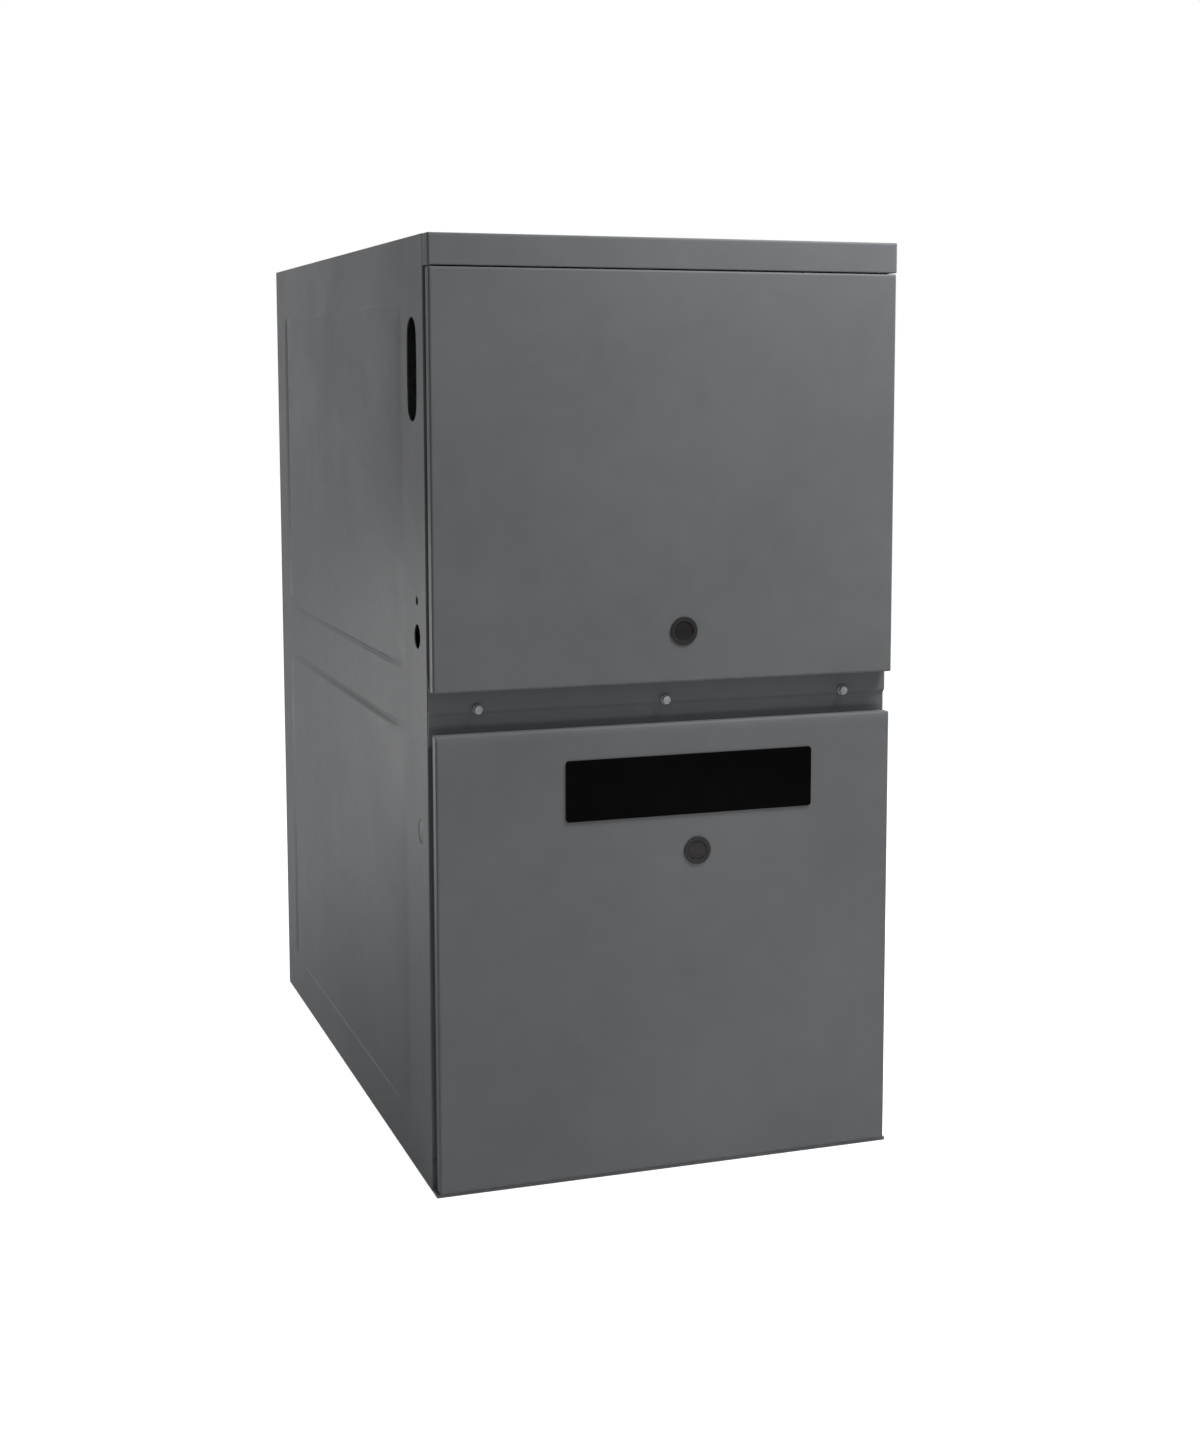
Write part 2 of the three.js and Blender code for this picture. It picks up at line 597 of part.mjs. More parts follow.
function topFrame() {
  const frame = openFrame(HEIGHT, 1, [PANEL_Y + DUCT_FLANGE, BACK_Y - DUCT_FLANGE]);
  const vent = [INDUCER_X + OUTLET_CENTRE, PANEL_Y + INDUCER_Y - INDUCER_WIDTH / 2];
  return frame.subtract(rod("z", VENT_RADIUS + VENT_PLAY, HEIGHT - 2 * SHEET, HEIGHT + SHEET, vent, 28));
}

const baseFrame = () => openFrame(0, -1, [CASE_Y + DUCT_FLANGE + SIDE_FLANGE, BACK_Y - DUCT_FLANGE]);

// The hemmed rail across the foot of the front: an upright strip and the ledge under the lower door.
function baseRail() {
  const upright = block([-HALF, HALF], [RING_Y, RING_Y + SHEET], [0, BASE_RAIL_HEIGHT]);
  return upright.add(block([-HALF, HALF], [FACE_Y + DOOR_EDGE, RING_Y + SHEET], [0, LEDGE]));
}

// The recessed strip between the doors; its lower half lies one step deeper.
function doorChannel() {
  const middle = LOWER_DOOR_TOP_Z + CHANNEL_HEIGHT / 2 - CHANNEL_STEP;
  const shoulder = UPPER_DOOR_BOTTOM_Z + GASKET_INSET - GAP - CHANNEL_STEP;
  const top = UPPER_DOOR_BOTTOM_Z + CHANNEL_LAP;
  const bottom = LOWER_DOOR_TOP_Z - CHANNEL_LAP;
  const proud = RING_Y - CHANNEL_STEP;
  const profile = [
    [RING_Y + SHEET, bottom],
    [RING_Y + SHEET, middle + SHEET],
    [proud + SHEET, middle + SHEET + CHANNEL_STEP],
    [proud + SHEET, shoulder - SHEET],
    [RING_Y + SHEET, shoulder + CHANNEL_STEP - SHEET],
    [RING_Y + SHEET, top],
    [RING_Y, top],
    [RING_Y, shoulder + CHANNEL_STEP],
    [proud, shoulder],
    [proud, middle + CHANNEL_STEP],
    [RING_Y, middle],
    [RING_Y, bottom],
  ];
  const strip = prism("x", profile.reverse(), -HALF + UPPER_DOOR_INSET, HALF - UPPER_DOOR_INSET);
  return SCREW_X.reduce((left, x) => left.subtract(screwHole(x)), strip);
}

const screwHole = (x) =>
  rod("y", SCREW_SHANK_RADIUS + GAP, FACE_Y, CASE_Y + DECK_APRON, [SCREW_Z, x], 8);

// A hexagon washer-head sheet metal screw along +Y, with its seat at the origin.
function channelScrew() {
  const washer = rod("y", SCREW_FLANGE_RADIUS, -SCREW_FLANGE - GAP, -GAP, [0, 0], 12);
  const hex = rod("y", SCREW_HEX_RADIUS, -GAP - SCREW_HEAD, -GAP - SCREW_FLANGE / 2, [0, 0], 6);
  const shank = rod("y", SCREW_SHANK_RADIUS, -SCREW_FLANGE, SCREW_LENGTH, [0, 0], 8);
  return join(washer, hex, shank);
}

// ---------------------------------------------------------------- doors
// A pan door: a face with sloping edges, returns to the back and an inward flange.
function doorPan(x, z, topSlope) {
  const slope = [FACE_Y, FACE_Y + DOOR_EDGE];
  const inset = [[DOOR_EDGE, topSlope], [DOOR_EDGE, DOOR_EDGE]];
  const back = slope[1] + SHEET;
  const face = tapered("y", rectangle(z, x), ...slope, inset);
  const body = prism("y", rectangle(z, x), slope[1], DOOR_BACK_Y);
  const within = [shrink(z, SHEET), shrink(x, SHEET)];
  const dish = tapered("y", rectangle(...within), FACE_Y + SHEET, back, inset);
  const hollow = prism("y", rectangle(...within), back, DOOR_BACK_Y - SHEET);
  const inner = rectangle(shrink(z, DOOR_FLANGE), shrink(x, DOOR_FLANGE));
  const mouth = prism("y", inner, back, DOOR_BACK_Y + SHEET);
  return join(face, body).subtract(join(dish, hollow, mouth));
}

const UPPER_DOOR_X = [-HALF + UPPER_DOOR_INSET, HALF - UPPER_DOOR_INSET];
const UPPER_DOOR_Z = [UPPER_DOOR_BOTTOM_Z, RAIL_BOTTOM_Z - DOOR_GAP];
const LOWER_DOOR_X = [-HALF + LOWER_DOOR_INSET, HALF - LOWER_DOOR_INSET];
const LOWER_DOOR_Z = [LEDGE + GAP, LOWER_DOOR_TOP_Z];
const portHole = ([x, z]) =>
  rod("y", PORT_HOLE_RADIUS, FACE_Y - SHEET, FACE_Y + 2 * SHEET, [z, x], PORT_SIDES);

const upperDoor = () =>
  doorPan(UPPER_DOOR_X, UPPER_DOOR_Z, DOOR_EDGE).subtract(portHole(UPPER_PORT));
const lowerDoor = () =>
  doorPan(LOWER_DOOR_X, LOWER_DOOR_Z, LOWER_DOOR_BEVEL).subtract(portHole(LOWER_PORT));

// The rail above the upper door, open to the back.
function topRail() {
  const x = [-HALF, HALF];
  const z = [RAIL_BOTTOM_Z, HEIGHT];
  const back = CASE_Y - GAP;
  const front = FACE_Y + DOOR_EDGE;
  const face = tapered("y", rectangle(z, x), FACE_Y, front, [[0, DOOR_EDGE], [DOOR_EDGE, DOOR_EDGE]]);
  const hollow = block(shrink(x, SHEET), [front + SHEET, back + SHEET], shrink(z, SHEET));
  return face.add(block(x, [front, back], z)).subtract(hollow);
}

// A foam strip round the back of a door.
function doorGasket(x, z) {
  const y = [DOOR_BACK_Y + GAP, DOOR_BACK_Y + GASKET];
  const inset = GASKET_INSET + GASKET_WIDTH;
  const opening = block(shrink(x, inset), [y[0] - SHEET, y[1] + SHEET], shrink(z, inset));
  return block(shrink(x, GASKET_INSET), y, shrink(z, GASKET_INSET)).subtract(opening);
}

// The insulating pad inside the upper door, with a hole behind the view port.
function doorLiner() {
  const y = [FACE_Y + SHEET + GAP, FACE_Y + SHEET + GAP + LINER];
  const x = UPPER_DOOR_X.map((edge) => edge - Math.sign(edge) * LINER_MARGIN);
  const z = [UPPER_DOOR_Z[0] + LINER_MARGIN, UPPER_DOOR_Z[1] - LINER_MARGIN];
  const centre = [UPPER_PORT[1], UPPER_PORT[0]];
  const hole = rod("y", LINER_HOLE_RADIUS, y[0] - SHEET, y[1] + SHEET, centre, PORT_SIDES);
  return block(x, y, z).subtract(hole);
}

// A view port's grommet: a flange on the face and a barrel through the sheet, round the Y axis.
function portBezel() {
  const barrel = PORT_HOLE_RADIUS - GAP;
  const bore = PORT_GLASS_RADIUS + GAP;
  const profile = [
    [bore, -PORT_PROUD],
    [PORT_RADIUS, -PORT_PROUD],
    [PORT_RADIUS, -GAP],
    [barrel, -GAP],
    [barrel, PORT_BACK],
    [PORT_GLASS_RADIUS - PORT_LIP, PORT_BACK],
    [PORT_GLASS_RADIUS - PORT_LIP, PORT_BACK - PORT_LIP],
    [bore, PORT_BACK - PORT_LIP],
  ];
  return turned("y", profile, PORT_SIDES);
}

const portGlass = () =>
  rod("y", PORT_GLASS_RADIUS, GAP - PORT_PROUD, PORT_BACK - PORT_LIP - GAP, [0, 0], PORT_SIDES);

function namePlate() {
  const middle = LOWER_DOOR_TOP_Z - PLATE_DROP;
  const z = [middle - PLATE_HEIGHT / 2, middle + PLATE_HEIGHT / 2];
  const x = [PLATE_CENTRE_X - PLATE_WIDTH / 2, PLATE_CENTRE_X + PLATE_WIDTH / 2];
  const outline = roundedOutline(z, x, PLATE_CORNER);
  return prism("y", outline, FACE_Y - PLATE_THICKNESS, FACE_Y - GAP);
}

// ---------------------------------------------------------------- heat section
// These pieces are made round the front of the vestibule panel at the height of the burners.
const PANEL_Z = [DECK_Z + GAP - BURNER_Z, HEIGHT - SHEET - GAP - BURNER_Z];

function vestibulePanel() {
  const edge = INSIDE_X - SHEET - GAP;
  const x = [-edge, edge];
  const outer = block(x, [0, SKIRT], PANEL_Z);
  const inner = block(shrink(x, SHEET), [SHEET, SKIRT + SHEET], [PANEL_Z[0] + SHEET, PANEL_Z[1] + SHEET]);
  let panel = outer.subtract(inner);
  for (const z of [0, TOP_PASS]) {
    for (const tubeX of TUBE_X) {
      const hole = rod("y", TUBE_RADIUS + GAP, -SHEET, 2 * SHEET, [z, tubeX], TUBE_SIDES);
      panel = panel.subtract(hole);
    }
  }
  return panel.subtract(rod("y", LIMIT_BULB_RADIUS + GAP, -SHEET, 2 * SHEET, [LIMIT_Z, 0], 12));
}

// One serpentine tube: four level passes joined by three half-turn bends.
function heatExchangerTube() {
  const bend = PASS_PITCH / 2;
  const far = BACK_Y - PANEL_Y - TUBE_BACK_MARGIN - TUBE_RADIUS - bend;
  const near = TUBE_FRONT_MARGIN + TUBE_RADIUS + bend;
  const onPlane = (y, z) => new THREE.Vector3(0, y, z);
  const end = (y, z, way) => ({ place: onPlane(y, z), direction: new THREE.Vector3(0, way, 0) });
  const steps = BEND_STEPS;
  const stations = [
    end(-TUBE_PROUD, 0, 1),
    ...bendStations([far, bend], bend, -90, 90, steps, onPlane),
    ...bendStations([near, 3 * bend], bend, 270, 90, steps, onPlane),
    ...bendStations([far, 5 * bend], bend, -90, 90, steps, onPlane),
    end(-TUBE_PROUD, TOP_PASS, -1),
  ];
  return sweep(new Route(stations), TUBE_RADIUS, TUBE_SIDES, TUBE_RADIUS - TUBE_WALL);
}

// An inshot burner: bell mouth, throat and flame head, open at both ends.
function burner() {
  const back = -BURNER_HEAD_GAP;
  const front = BURNER_FRONT;
  const wall = BURNER_WALL;
  const outer = [
    [BURNER_BELL_RADIUS, front],
    [BURNER_BELL_RADIUS - BELL_TAPER, front + BELL_LENGTH],
    [BURNER_THROAT_RADIUS, front + THROAT_FROM],
    [BURNER_THROAT_RADIUS, front + THROAT_TO],
    [BURNER_HEAD_RADIUS - HEAD_TAPER, back - HEAD_SHOULDER],
    [BURNER_HEAD_RADIUS, back - HEAD_LENGTH],
    [BURNER_HEAD_RADIUS, back],
  ];
  const inner = outer.map(([r, y]) => [r - wall, y]).reverse();
  return turned("y", [...outer, ...inner], BURNER_SIDES);
}

// The tray that holds the burners between two cross plates.
function burnerBox() {
  const half = BOX_HALF;
  const floor = -BOX_HEIGHT / 2;
  const top = BOX_HEIGHT / 2;
  const plates = [
    block([-half, half], [BURNER_FRONT, -GAP], [floor, floor + SHEET]),
    block([-half, -half + SHEET], [BURNER_FRONT, -GAP], [floor, top]),
    block([half - SHEET, half], [BURNER_FRONT, -GAP], [floor, top]),
    block([-half, half], [BURNER_FRONT, BURNER_FRONT + SHEET], [floor, top]),
    block([-half, half], [-CRADLE, -CRADLE + SHEET], [floor, floor + BOX_HEIGHT * CRADLE_SHARE]),
    block([-half - SKIRT, -half + SHEET], [-GAP - SHEET, -GAP], [floor, top]),
    block([half - SHEET, half + SKIRT], [-GAP - SHEET, -GAP], [floor, top]),
  ];
  let box = join(...plates);
  const through = (from) => [from - SHEET, from + 2 * SHEET];
  for (const x of TUBE_X) {
    box = box.subtract(rod("y", BURNER_BELL_RADIUS + GAP, ...through(BURNER_FRONT), [0, x], BURNER_SIDES));
    box = box.subtract(rod("y", BURNER_HEAD_RADIUS + GAP, ...through(-CRADLE), [0, x], BURNER_SIDES));
  }
  const reach = half + 2 * SHEET;
  return box.subtract(rod("x", BUTTON_RADIUS, -reach, reach, [ROLLOUT_Y, ROLLOUT_Z], 10));
}

// The gas manifold: a pipe with a spud for each burner and an elbow up to the valve.
function gasManifold() {
  const right = TUBE_X[TUBE_COUNT - 1] + PIPE_RADIUS + PIPE_END;
  const onPlane = (x, z) => new THREE.Vector3(x, MANIFOLD_Y, z);
  const flat = (x, z, isDirection) => (isDirection ? new THREE.Vector3(x, 0, z) : onPlane(x, z));
  const corner = [VALVE_X + ELBOW_RADIUS, ELBOW_RADIUS];
  const stations = [
    { place: onPlane(right, 0), direction: new THREE.Vector3(-1, 0, 0) },
    ...bendStations(corner, ELBOW_RADIUS, 270, 180, BEND_STEPS, flat),
    { place: onPlane(VALVE_X, VALVE_RISE - VALVE_BOSS - GAP), direction: new THREE.Vector3(0, 0, 1) },
  ];
  let manifold = sweep(new Route(stations), PIPE_RADIUS, 10);
  const nose = MANIFOLD_Y + PIPE_RADIUS + SPUD;
  for (const x of TUBE_X) {
    manifold = manifold.add(rod("y", SPUD_RADIUS, nose - SPUD - SPUD_ROOT, nose, [0, x], 6));
    const drilled = [nose - ORIFICE_LENGTH + SHEET, nose + SHEET];
    manifold = manifold.subtract(rod("y", ORIFICE_RADIUS, ...drilled, [0, x], 6));
  }
  const seat = BURNER_FRONT - GAP;
  for (const centre of [-TUBE_PITCH, TUBE_PITCH]) {
    const x = [centre - BRACE_WIDTH / 2, centre + BRACE_WIDTH / 2];
    const level = [-BRACE_THICKNESS / 2, BRACE_THICKNESS / 2];
    manifold = manifold.add(block(x, [MANIFOLD_Y, seat], level));
    const upright = [-BRACE_HEIGHT / 2, BRACE_HEIGHT / 2];
    manifold = manifold.add(block(x, [seat - BRACE_THICKNESS / 2, seat], upright));
  }
  return manifold;
}

// The gas valve body, round its own centre line: outlet below, inlet above, knob seat in front.
function gasValve() {
  const [w, d, h] = VALVE_SIZE;
  const c = VALVE_CHAMFER;
  const outline = [
    [-w / 2 + c, -d / 2],
    [w / 2 - c, -d / 2],
    [w / 2, -d / 2 + c],
    [w / 2, d / 2 - c],
    [w / 2 - c, d / 2],
    [-w / 2 + c, d / 2],
    [-w / 2, d / 2 - c],
    [-w / 2, -d / 2 + c],
  ];
  const [x, z] = TERMINAL_BLOCK_SEAT;
  const [width, depth, height] = TERMINAL_BLOCK;
  const body = join(
    prism("z", outline, 0, h),
    rod("z", VALVE_BOSS_RADIUS, -VALVE_BOSS, SHEET, [0, 0], 6),
    rod("z", VALVE_BOSS_RADIUS, h - SHEET, h + VALVE_BOSS, [0, 0], 12),
    rod("z", REGULATOR_RADIUS, h - SHEET, h + REGULATOR, [REGULATOR_X, 0], 12),
    block([x, x + width], [-d / 2 - depth, -d / 2 + SHEET], [z, z + height]),
  );
  const bore = [-d / 2 - SHEET, -d / 2 + KNOB_PIN + SHEET];
  const knobSeat = rod("y", KNOB_PIN_RADIUS + GAP, ...bore, [KNOB_Z, KNOB_X], 12);
  const inlet = rod("z", PIPE_THREAD_RADIUS, h - THREAD_DEPTH, h + VALVE_BOSS + SHEET, [0, 0], 12);
  return body.subtract(knobSeat).subtract(inlet);
}

// The valve's on-off knob: a disc with a raised grip bar and a pin into the valve.
function valveKnob() {
  const seat = -GAP;
  const gripX = [-GRIP_WIDTH / 2, GRIP_WIDTH / 2];
  const gripY = [seat - KNOB_HEIGHT - GRIP_HEIGHT, seat - SHEET];
  return join(
    rod("y", KNOB_RADIUS, seat - KNOB_HEIGHT, seat, [0, 0], 20),
    block(gripX, gripY, [-KNOB_RADIUS, KNOB_RADIUS + GRIP_REACH]),
    rod("y", KNOB_PIN_RADIUS, seat - SHEET, KNOB_PIN, [0, 0], 12),
  );
}

// The hot surface igniter: a ceramic base with two prongs joined below in the flame's way.
function igniter() {
  const foot = BOX_HEIGHT / 2 + IGNITER_RISE;
  const [width, depth, height] = IGNITER_BASE;
  const base = block([-width / 2, width / 2], [-GAP - depth, -GAP], [foot, foot + height]);
  const prongs = [-PRONG_PLACE, PRONG_PLACE].map((x) =>
    rod("z", PRONG_RADIUS, PRONG_FOOT, foot + PRONG_RADIUS, [x, PROBE_Y], 8),
  );
  const [across, thick, tall] = ELEMENT;
  const y = [PROBE_Y - thick / 2, PROBE_Y + thick / 2];
  const loop = block([-across / 2, across / 2], y, [PRONG_FOOT + SHEET - tall, PRONG_FOOT + SHEET]);
  return join(base, ...prongs, loop);
}

// The flame sensor: a rod held in a porcelain sleeve.
function flameSensor() {
  const foot = TUBE_RADIUS + SENSOR_CLEARANCE;
  const base = rod("z", SENSOR_BASE_RADIUS, foot, foot + SENSOR_BASE, [0, SENSOR_Y], 10);
  const [width, depth, height] = SENSOR_TAB;
  const tabZ = [foot + SENSOR_BASE_RADIUS, foot + SENSOR_BASE_RADIUS + height];
  const tab = block([-width / 2, width / 2], [-GAP - depth, -GAP], tabZ);
  return join(base, tab, rod("z", SENSOR_ROD_RADIUS, SENSOR_ROD_FOOT, foot + SHEET, [0, SENSOR_Y], 6));
}

const BUTTON_PROUD = 2 * BUTTON_TRAVEL;

// A disc thermostat standing on the outside of the burner box, with a bore for its reset button.
function rolloutSwitch() {
  const [thickness, length, height] = DISC_FOOT;
  const foot = block([0, thickness], [-length / 2, length / 2], [-height / 2, height / 2]);
  const disc = rod("x", DISC_RADIUS, ROOT, DISC_HEIGHT, [0, 0], 20);
  const [reach, leaf, width] = DISC_TABS;
  const tabX = [DISC_HEIGHT - SHEET, DISC_HEIGHT - SHEET + reach];
  const tab = (y) => block(tabX, [y - leaf / 2, y + leaf / 2], [-width / 2, width / 2]);
  const bore = rod("x", BUTTON_RADIUS + GAP, -SHEET, DISC_HEIGHT + reach, [0, 0], 12);
  return join(foot, disc, tab(-DISC_TAB_PLACE), tab(DISC_TAB_PLACE)).subtract(bore);
}

function resetButton() {
  const tip = DISC_HEIGHT + BUTTON_PROUD;
  return rod("x", BUTTON_RADIUS, tip - BUTTON_LENGTH, tip, [0, 0], 12);
}

const LIMIT_Z = 1.5 * PASS_PITCH;

// The primary limit: a disc on the vestibule panel with its bulb between the tubes.
function limitSwitch() {
  const [width, thickness, height] = LIMIT_PLATE;
  const plate = block([-width / 2, width / 2], [-thickness, -GAP], [-height / 2, height / 2]);
  const cup = rod("y", DISC_RADIUS, -LIMIT_CUP, -SHEET, [0, 0], 20);
  return join(plate, cup, rod("y", LIMIT_BULB_RADIUS, -SHEET, LIMIT_BULB, [0, 0], 12));
}

const PRESSURE_Z = 1.5 * PASS_PITCH;

// The air pressure switch: two dished halves, a foot plate and a hose nipple.
function pressureSwitch() {
  const back = -PRESSURE_FOOT;
  const front = back - PRESSURE_DEPTH;
  const [shell, rim, rimEnd, cover] = PRESSURE_STEPS.map((depth) => back - depth);
  const [base, waist, crown, dome] = PRESSURE_TAPERS.map((taper) => PRESSURE_RADIUS - taper);
  const profile = [
    [0, back],
    [base, back],
    [waist, shell],
    [PRESSURE_RADIUS, rim],
    [PRESSURE_RADIUS, rimEnd],
    [crown, cover],
    [dome, front],
    [0, front],
  ];
  const [width, height] = PRESSURE_PLATE;
  const foot = block([-width / 2, width / 2], [back - SHEET, -GAP], [-height / 2, height / 2]);
  const nipple = rod("y", NIPPLE_RADIUS, front - NIPPLE, front + SHEET, [0, 0], 10);
  return join(turned("y", profile, 16), foot, nipple);
}

// The hose from the pressure switch to the nipple on the collector box: out, up and back in round
// two quarter bends, with a slant to the side on the way up.
function pressureHose() {
  const lower = -PRESSURE_FOOT - PRESSURE_DEPTH - NIPPLE - GAP;
  const upper = -COLLECTOR_DEPTH - NIPPLE - 2 * GAP;
  const slant = (z) => (NIPPLE_X - PRESSURE_X) * ((z - PRESSURE_Z) / (NIPPLE_Z - PRESSURE_Z));
  const onPlane = (y, z, isDirection) =>
    new THREE.Vector3(isDirection ? 0 : PRESSURE_X + slant(z), y, z);
  const end = (y, z, way) => ({ place: onPlane(y, z), direction: new THREE.Vector3(0, way, 0) });
  const turn = Math.min(lower, upper) - HOSE_STRAIGHT;
  const stations = [
    end(lower, PRESSURE_Z, -1),
    ...bendStations([turn, PRESSURE_Z + HOSE_BEND], HOSE_BEND, 270, 180, BEND_STEPS, onPlane),
    ...bendStations([turn, NIPPLE_Z - HOSE_BEND], HOSE_BEND, 180, 90, BEND_STEPS, onPlane),
    end(upper, NIPPLE_Z, 1),
  ];
  return sweep(new Route(stations), HOSE_RADIUS, 8);
}

const NIPPLE_Z = TOP_PASS;

// The collector box over the outlet ends of the tubes, open to the back.
function collectorBox() {
  const x = [-COLLECTOR_HALF_X, COLLECTOR_HALF_X];
  const z = [TOP_PASS - COLLECTOR_HALF_Z, TOP_PASS + COLLECTOR_HALF_Z];
  const y = [-GAP - COLLECTOR_DEPTH, -GAP];
  const grow = ([a, b], by) => [a - by, b + by];
  const shell = join(block(x, y, z), block(grow(x, SKIRT), [y[1] - SHEET, y[1]], z));
  const hollow = block(grow(x, -SHEET), [y[0] + SHEET, y[1] + SHEET], grow(z, -SHEET));
  const port = rod("y", INDUCER_INLET_RADIUS, y[0] - SHEET, y[0] + 2 * SHEET, [TOP_PASS, INDUCER_X], 20);
  const nipple = rod("y", NIPPLE_RADIUS, y[0] - NIPPLE, y[0] + SHEET, [NIPPLE_Z, NIPPLE_X], 10);
  return shell.subtract(hollow).subtract(port).add(nipple);
}

// ---------------------------------------------------------------- inducer
// Made round the wheel's axis, which runs along Y, with the housing's back at y = 0.
// A volute outline: a spiral that opens into an outlet duct going straight up.
function volute(start, end, turn, top, cutoff, axis) {
  const points = [];
  const steps = 14;
  for (let i = 0; i <= steps; i++) {
    const share = i / steps;
    const angle = (-turn * (1 - share)) * DEGREES;
    const radius = start + (end - start) * share;
    points.push([radius * Math.cos(angle), radius * Math.sin(angle)]);
  }
  points.push([end, top]);
  points.push([cutoff, top]);
  return axis === "y" ? points.map(([x, z]) => [z, x]).reverse() : points;
}

const INDUCER_OUTLET = VENT_TOP - VENT_COLLAR_HEIGHT - GAP;
const inducerOutline = (inset) =>
  volute(
    INDUCER_START - inset,
    INDUCER_END - inset,
    INDUCER_TURN,
    INDUCER_OUTLET + (inset ? SHEET : 0),
    INDUCER_END - INDUCER_WIDTH + inset,
    "y",
  );

function inducerHousing() {
  const y = [-INDUCER_WIDTH, 0];
  const shell = prism("y", inducerOutline(0), ...y);
  const hollow = prism("y", inducerOutline(INDUCER_WALL), y[0] + INDUCER_WALL, y[1] - INDUCER_WALL);
  const inlet = rod("y", INDUCER_INLET_RADIUS, -2 * INDUCER_WALL, INDUCER_WALL, [0, 0], 20);
  const span = [y[0] - SHEET, y[0] + 2 * INDUCER_WALL];
  const shaft = rod("y", INDUCER_SHAFT_RADIUS + SHAFT_PLAY, ...span, [0, 0], 16);
  return shell.subtract(hollow).subtract(inlet).subtract(shaft);
}

// The impeller: a back plate on the motor side, radial blades and the motor shaft.
function inducerWheel() {
  const face = -INDUCER_WIDTH + INDUCER_WALL + INDUCER_PLAY;
  const [front, back] = [face - INDUCER_HUB[0], face + INDUCER_HUB[1]];
  const plate = rod("y", INDUCER_WHEEL_RADIUS, face, face + INDUCER_PLATE, [0, 0], 20);
  const hub = rod("y", INDUCER_HUB_RADIUS, front, back, [0, 0], 12);
  const shaft = rod("y", INDUCER_SHAFT_RADIUS, -INDUCER_WIDTH - INDUCER_SHAFT, back, [0, 0], 10);
  const blade = block(
    [INDUCER_HUB_RADIUS - SHEET, INDUCER_WHEEL_RADIUS - SHEET],
    [face + ROOT, face + INDUCER_WHEEL_WIDTH],
    [-INDUCER_BLADE / 2, INDUCER_BLADE / 2],
  );
  const step = 360 / INDUCER_BLADES;
  const blades = Array.from({ length: INDUCER_BLADES }, (_, i) => blade.rotate([0, step * i, 0]));
  return join(plate, hub, shaft, ...blades);
}

// The inducer motor: a can with a mounting flange, a cooling cap and a bore for the shaft.
function inducerMotor() {
  const back = -INDUCER_WIDTH - GAP;
  const front = back - INDUCER_MOTOR_LENGTH;
  const flange = INDUCER_MOTOR_RADIUS + MOTOR_FLANGE;
  const [waist, nose] = MOTOR_STEPS.map((depth) => front + depth);
  const [shoulder, cap] = MOTOR_TAPERS.map((taper) => INDUCER_MOTOR_RADIUS - taper);
  const profile = [
    [0, back],
    [flange, back],
    [flange, back - MOTOR_FLANGE_THICKNESS],
    [INDUCER_MOTOR_RADIUS, back - 2 * MOTOR_FLANGE_THICKNESS],
    [INDUCER_MOTOR_RADIUS, waist],
    [shoulder, nose],
    [cap, front],
    [0, front],
  ];
  const bored = [back - INDUCER_SHAFT - SHEET, back + SHEET];
  const bore = rod("y", INDUCER_SHAFT_RADIUS + GAP, ...bored, [0, 0], 12);
  return turned("y", profile, 16).subtract(bore);
}

// The vent collar: a round spigot standing on the inducer's square outlet.
function ventCollar() {
  const profile = [
    [OUTLET_BORE, 0],
    [VENT_RADIUS, 0],
    [VENT_RADIUS, VENT_COLLAR_HEIGHT],
    [VENT_RADIUS - SHEET, VENT_COLLAR_HEIGHT],
    [VENT_RADIUS - SHEET, SHEET * 2],
    [OUTLET_BORE, SHEET * 2],
  ];
  return turned("z", profile, 20);
}

const OUTLET_BORE = INDUCER_WIDTH / 2 - INDUCER_WALL - SHEET;

// ---------------------------------------------------------------- blower
// These pieces are made round the blower shaft, which runs along X.
const CUTOFF_Y = SCROLL_START * Math.cos(SCROLL_TURN * DEGREES);
const HOUSING_TOP = SHAFT_BELOW_DECK - SHEET - GAP;
const scrollOutline = (inset) =>
  volute(
    SCROLL_START - inset,
    SCROLL_END - inset,
    SCROLL_TURN,
    HOUSING_TOP + (inset ? SHEET : 0),
    CUTOFF_Y + inset,
    "x",
  );

// The scroll housing: a spiral shell with a turned inlet in each side plate and flanges on top.
function blowerHousing() {
  const half = HOUSING_HALF;
  const shell = prism("x", scrollOutline(0), -half, half);
  const hollow = prism("x", scrollOutline(SHEET), -half + SHEET, half - SHEET);
  const flangeY = [CUTOFF_Y, SCROLL_END];
  const flangeZ = [HOUSING_TOP - SHEET, HOUSING_TOP];
  let housing = shell.add(block([-half - BLOWER_FLANGE, half + BLOWER_FLANGE], flangeY, flangeZ));
  housing = housing.subtract(hollow);
  for (const side of [-1, 1]) {
    const span = [Math.min(0, side * 2 * half), Math.max(0, side * 2 * half)];
    const mouth = rod("x", INLET_RADIUS, ...span, [0, 0], INLET_SIDES);
    housing = housing.subtract(mouth).add(inletRing(side));
  }
  return housing;
}

// The rolled lip of an inlet, which funnels air into the wheel.
function inletRing(side) {
  const face = side * HOUSING_HALF;
  const [rim, root, edge, throat] = INLET_STEPS.map((step) => INLET_RADIUS + step);
  const profile = [
    [rim, face - side * SHEET],
    [rim, face],
    [throat, face - side * INLET_LIP],
    [edge, face - side * INLET_LIP],
    [root, face - side * SHEET],
  ];
  return turned("x", profile, INLET_SIDES);
}

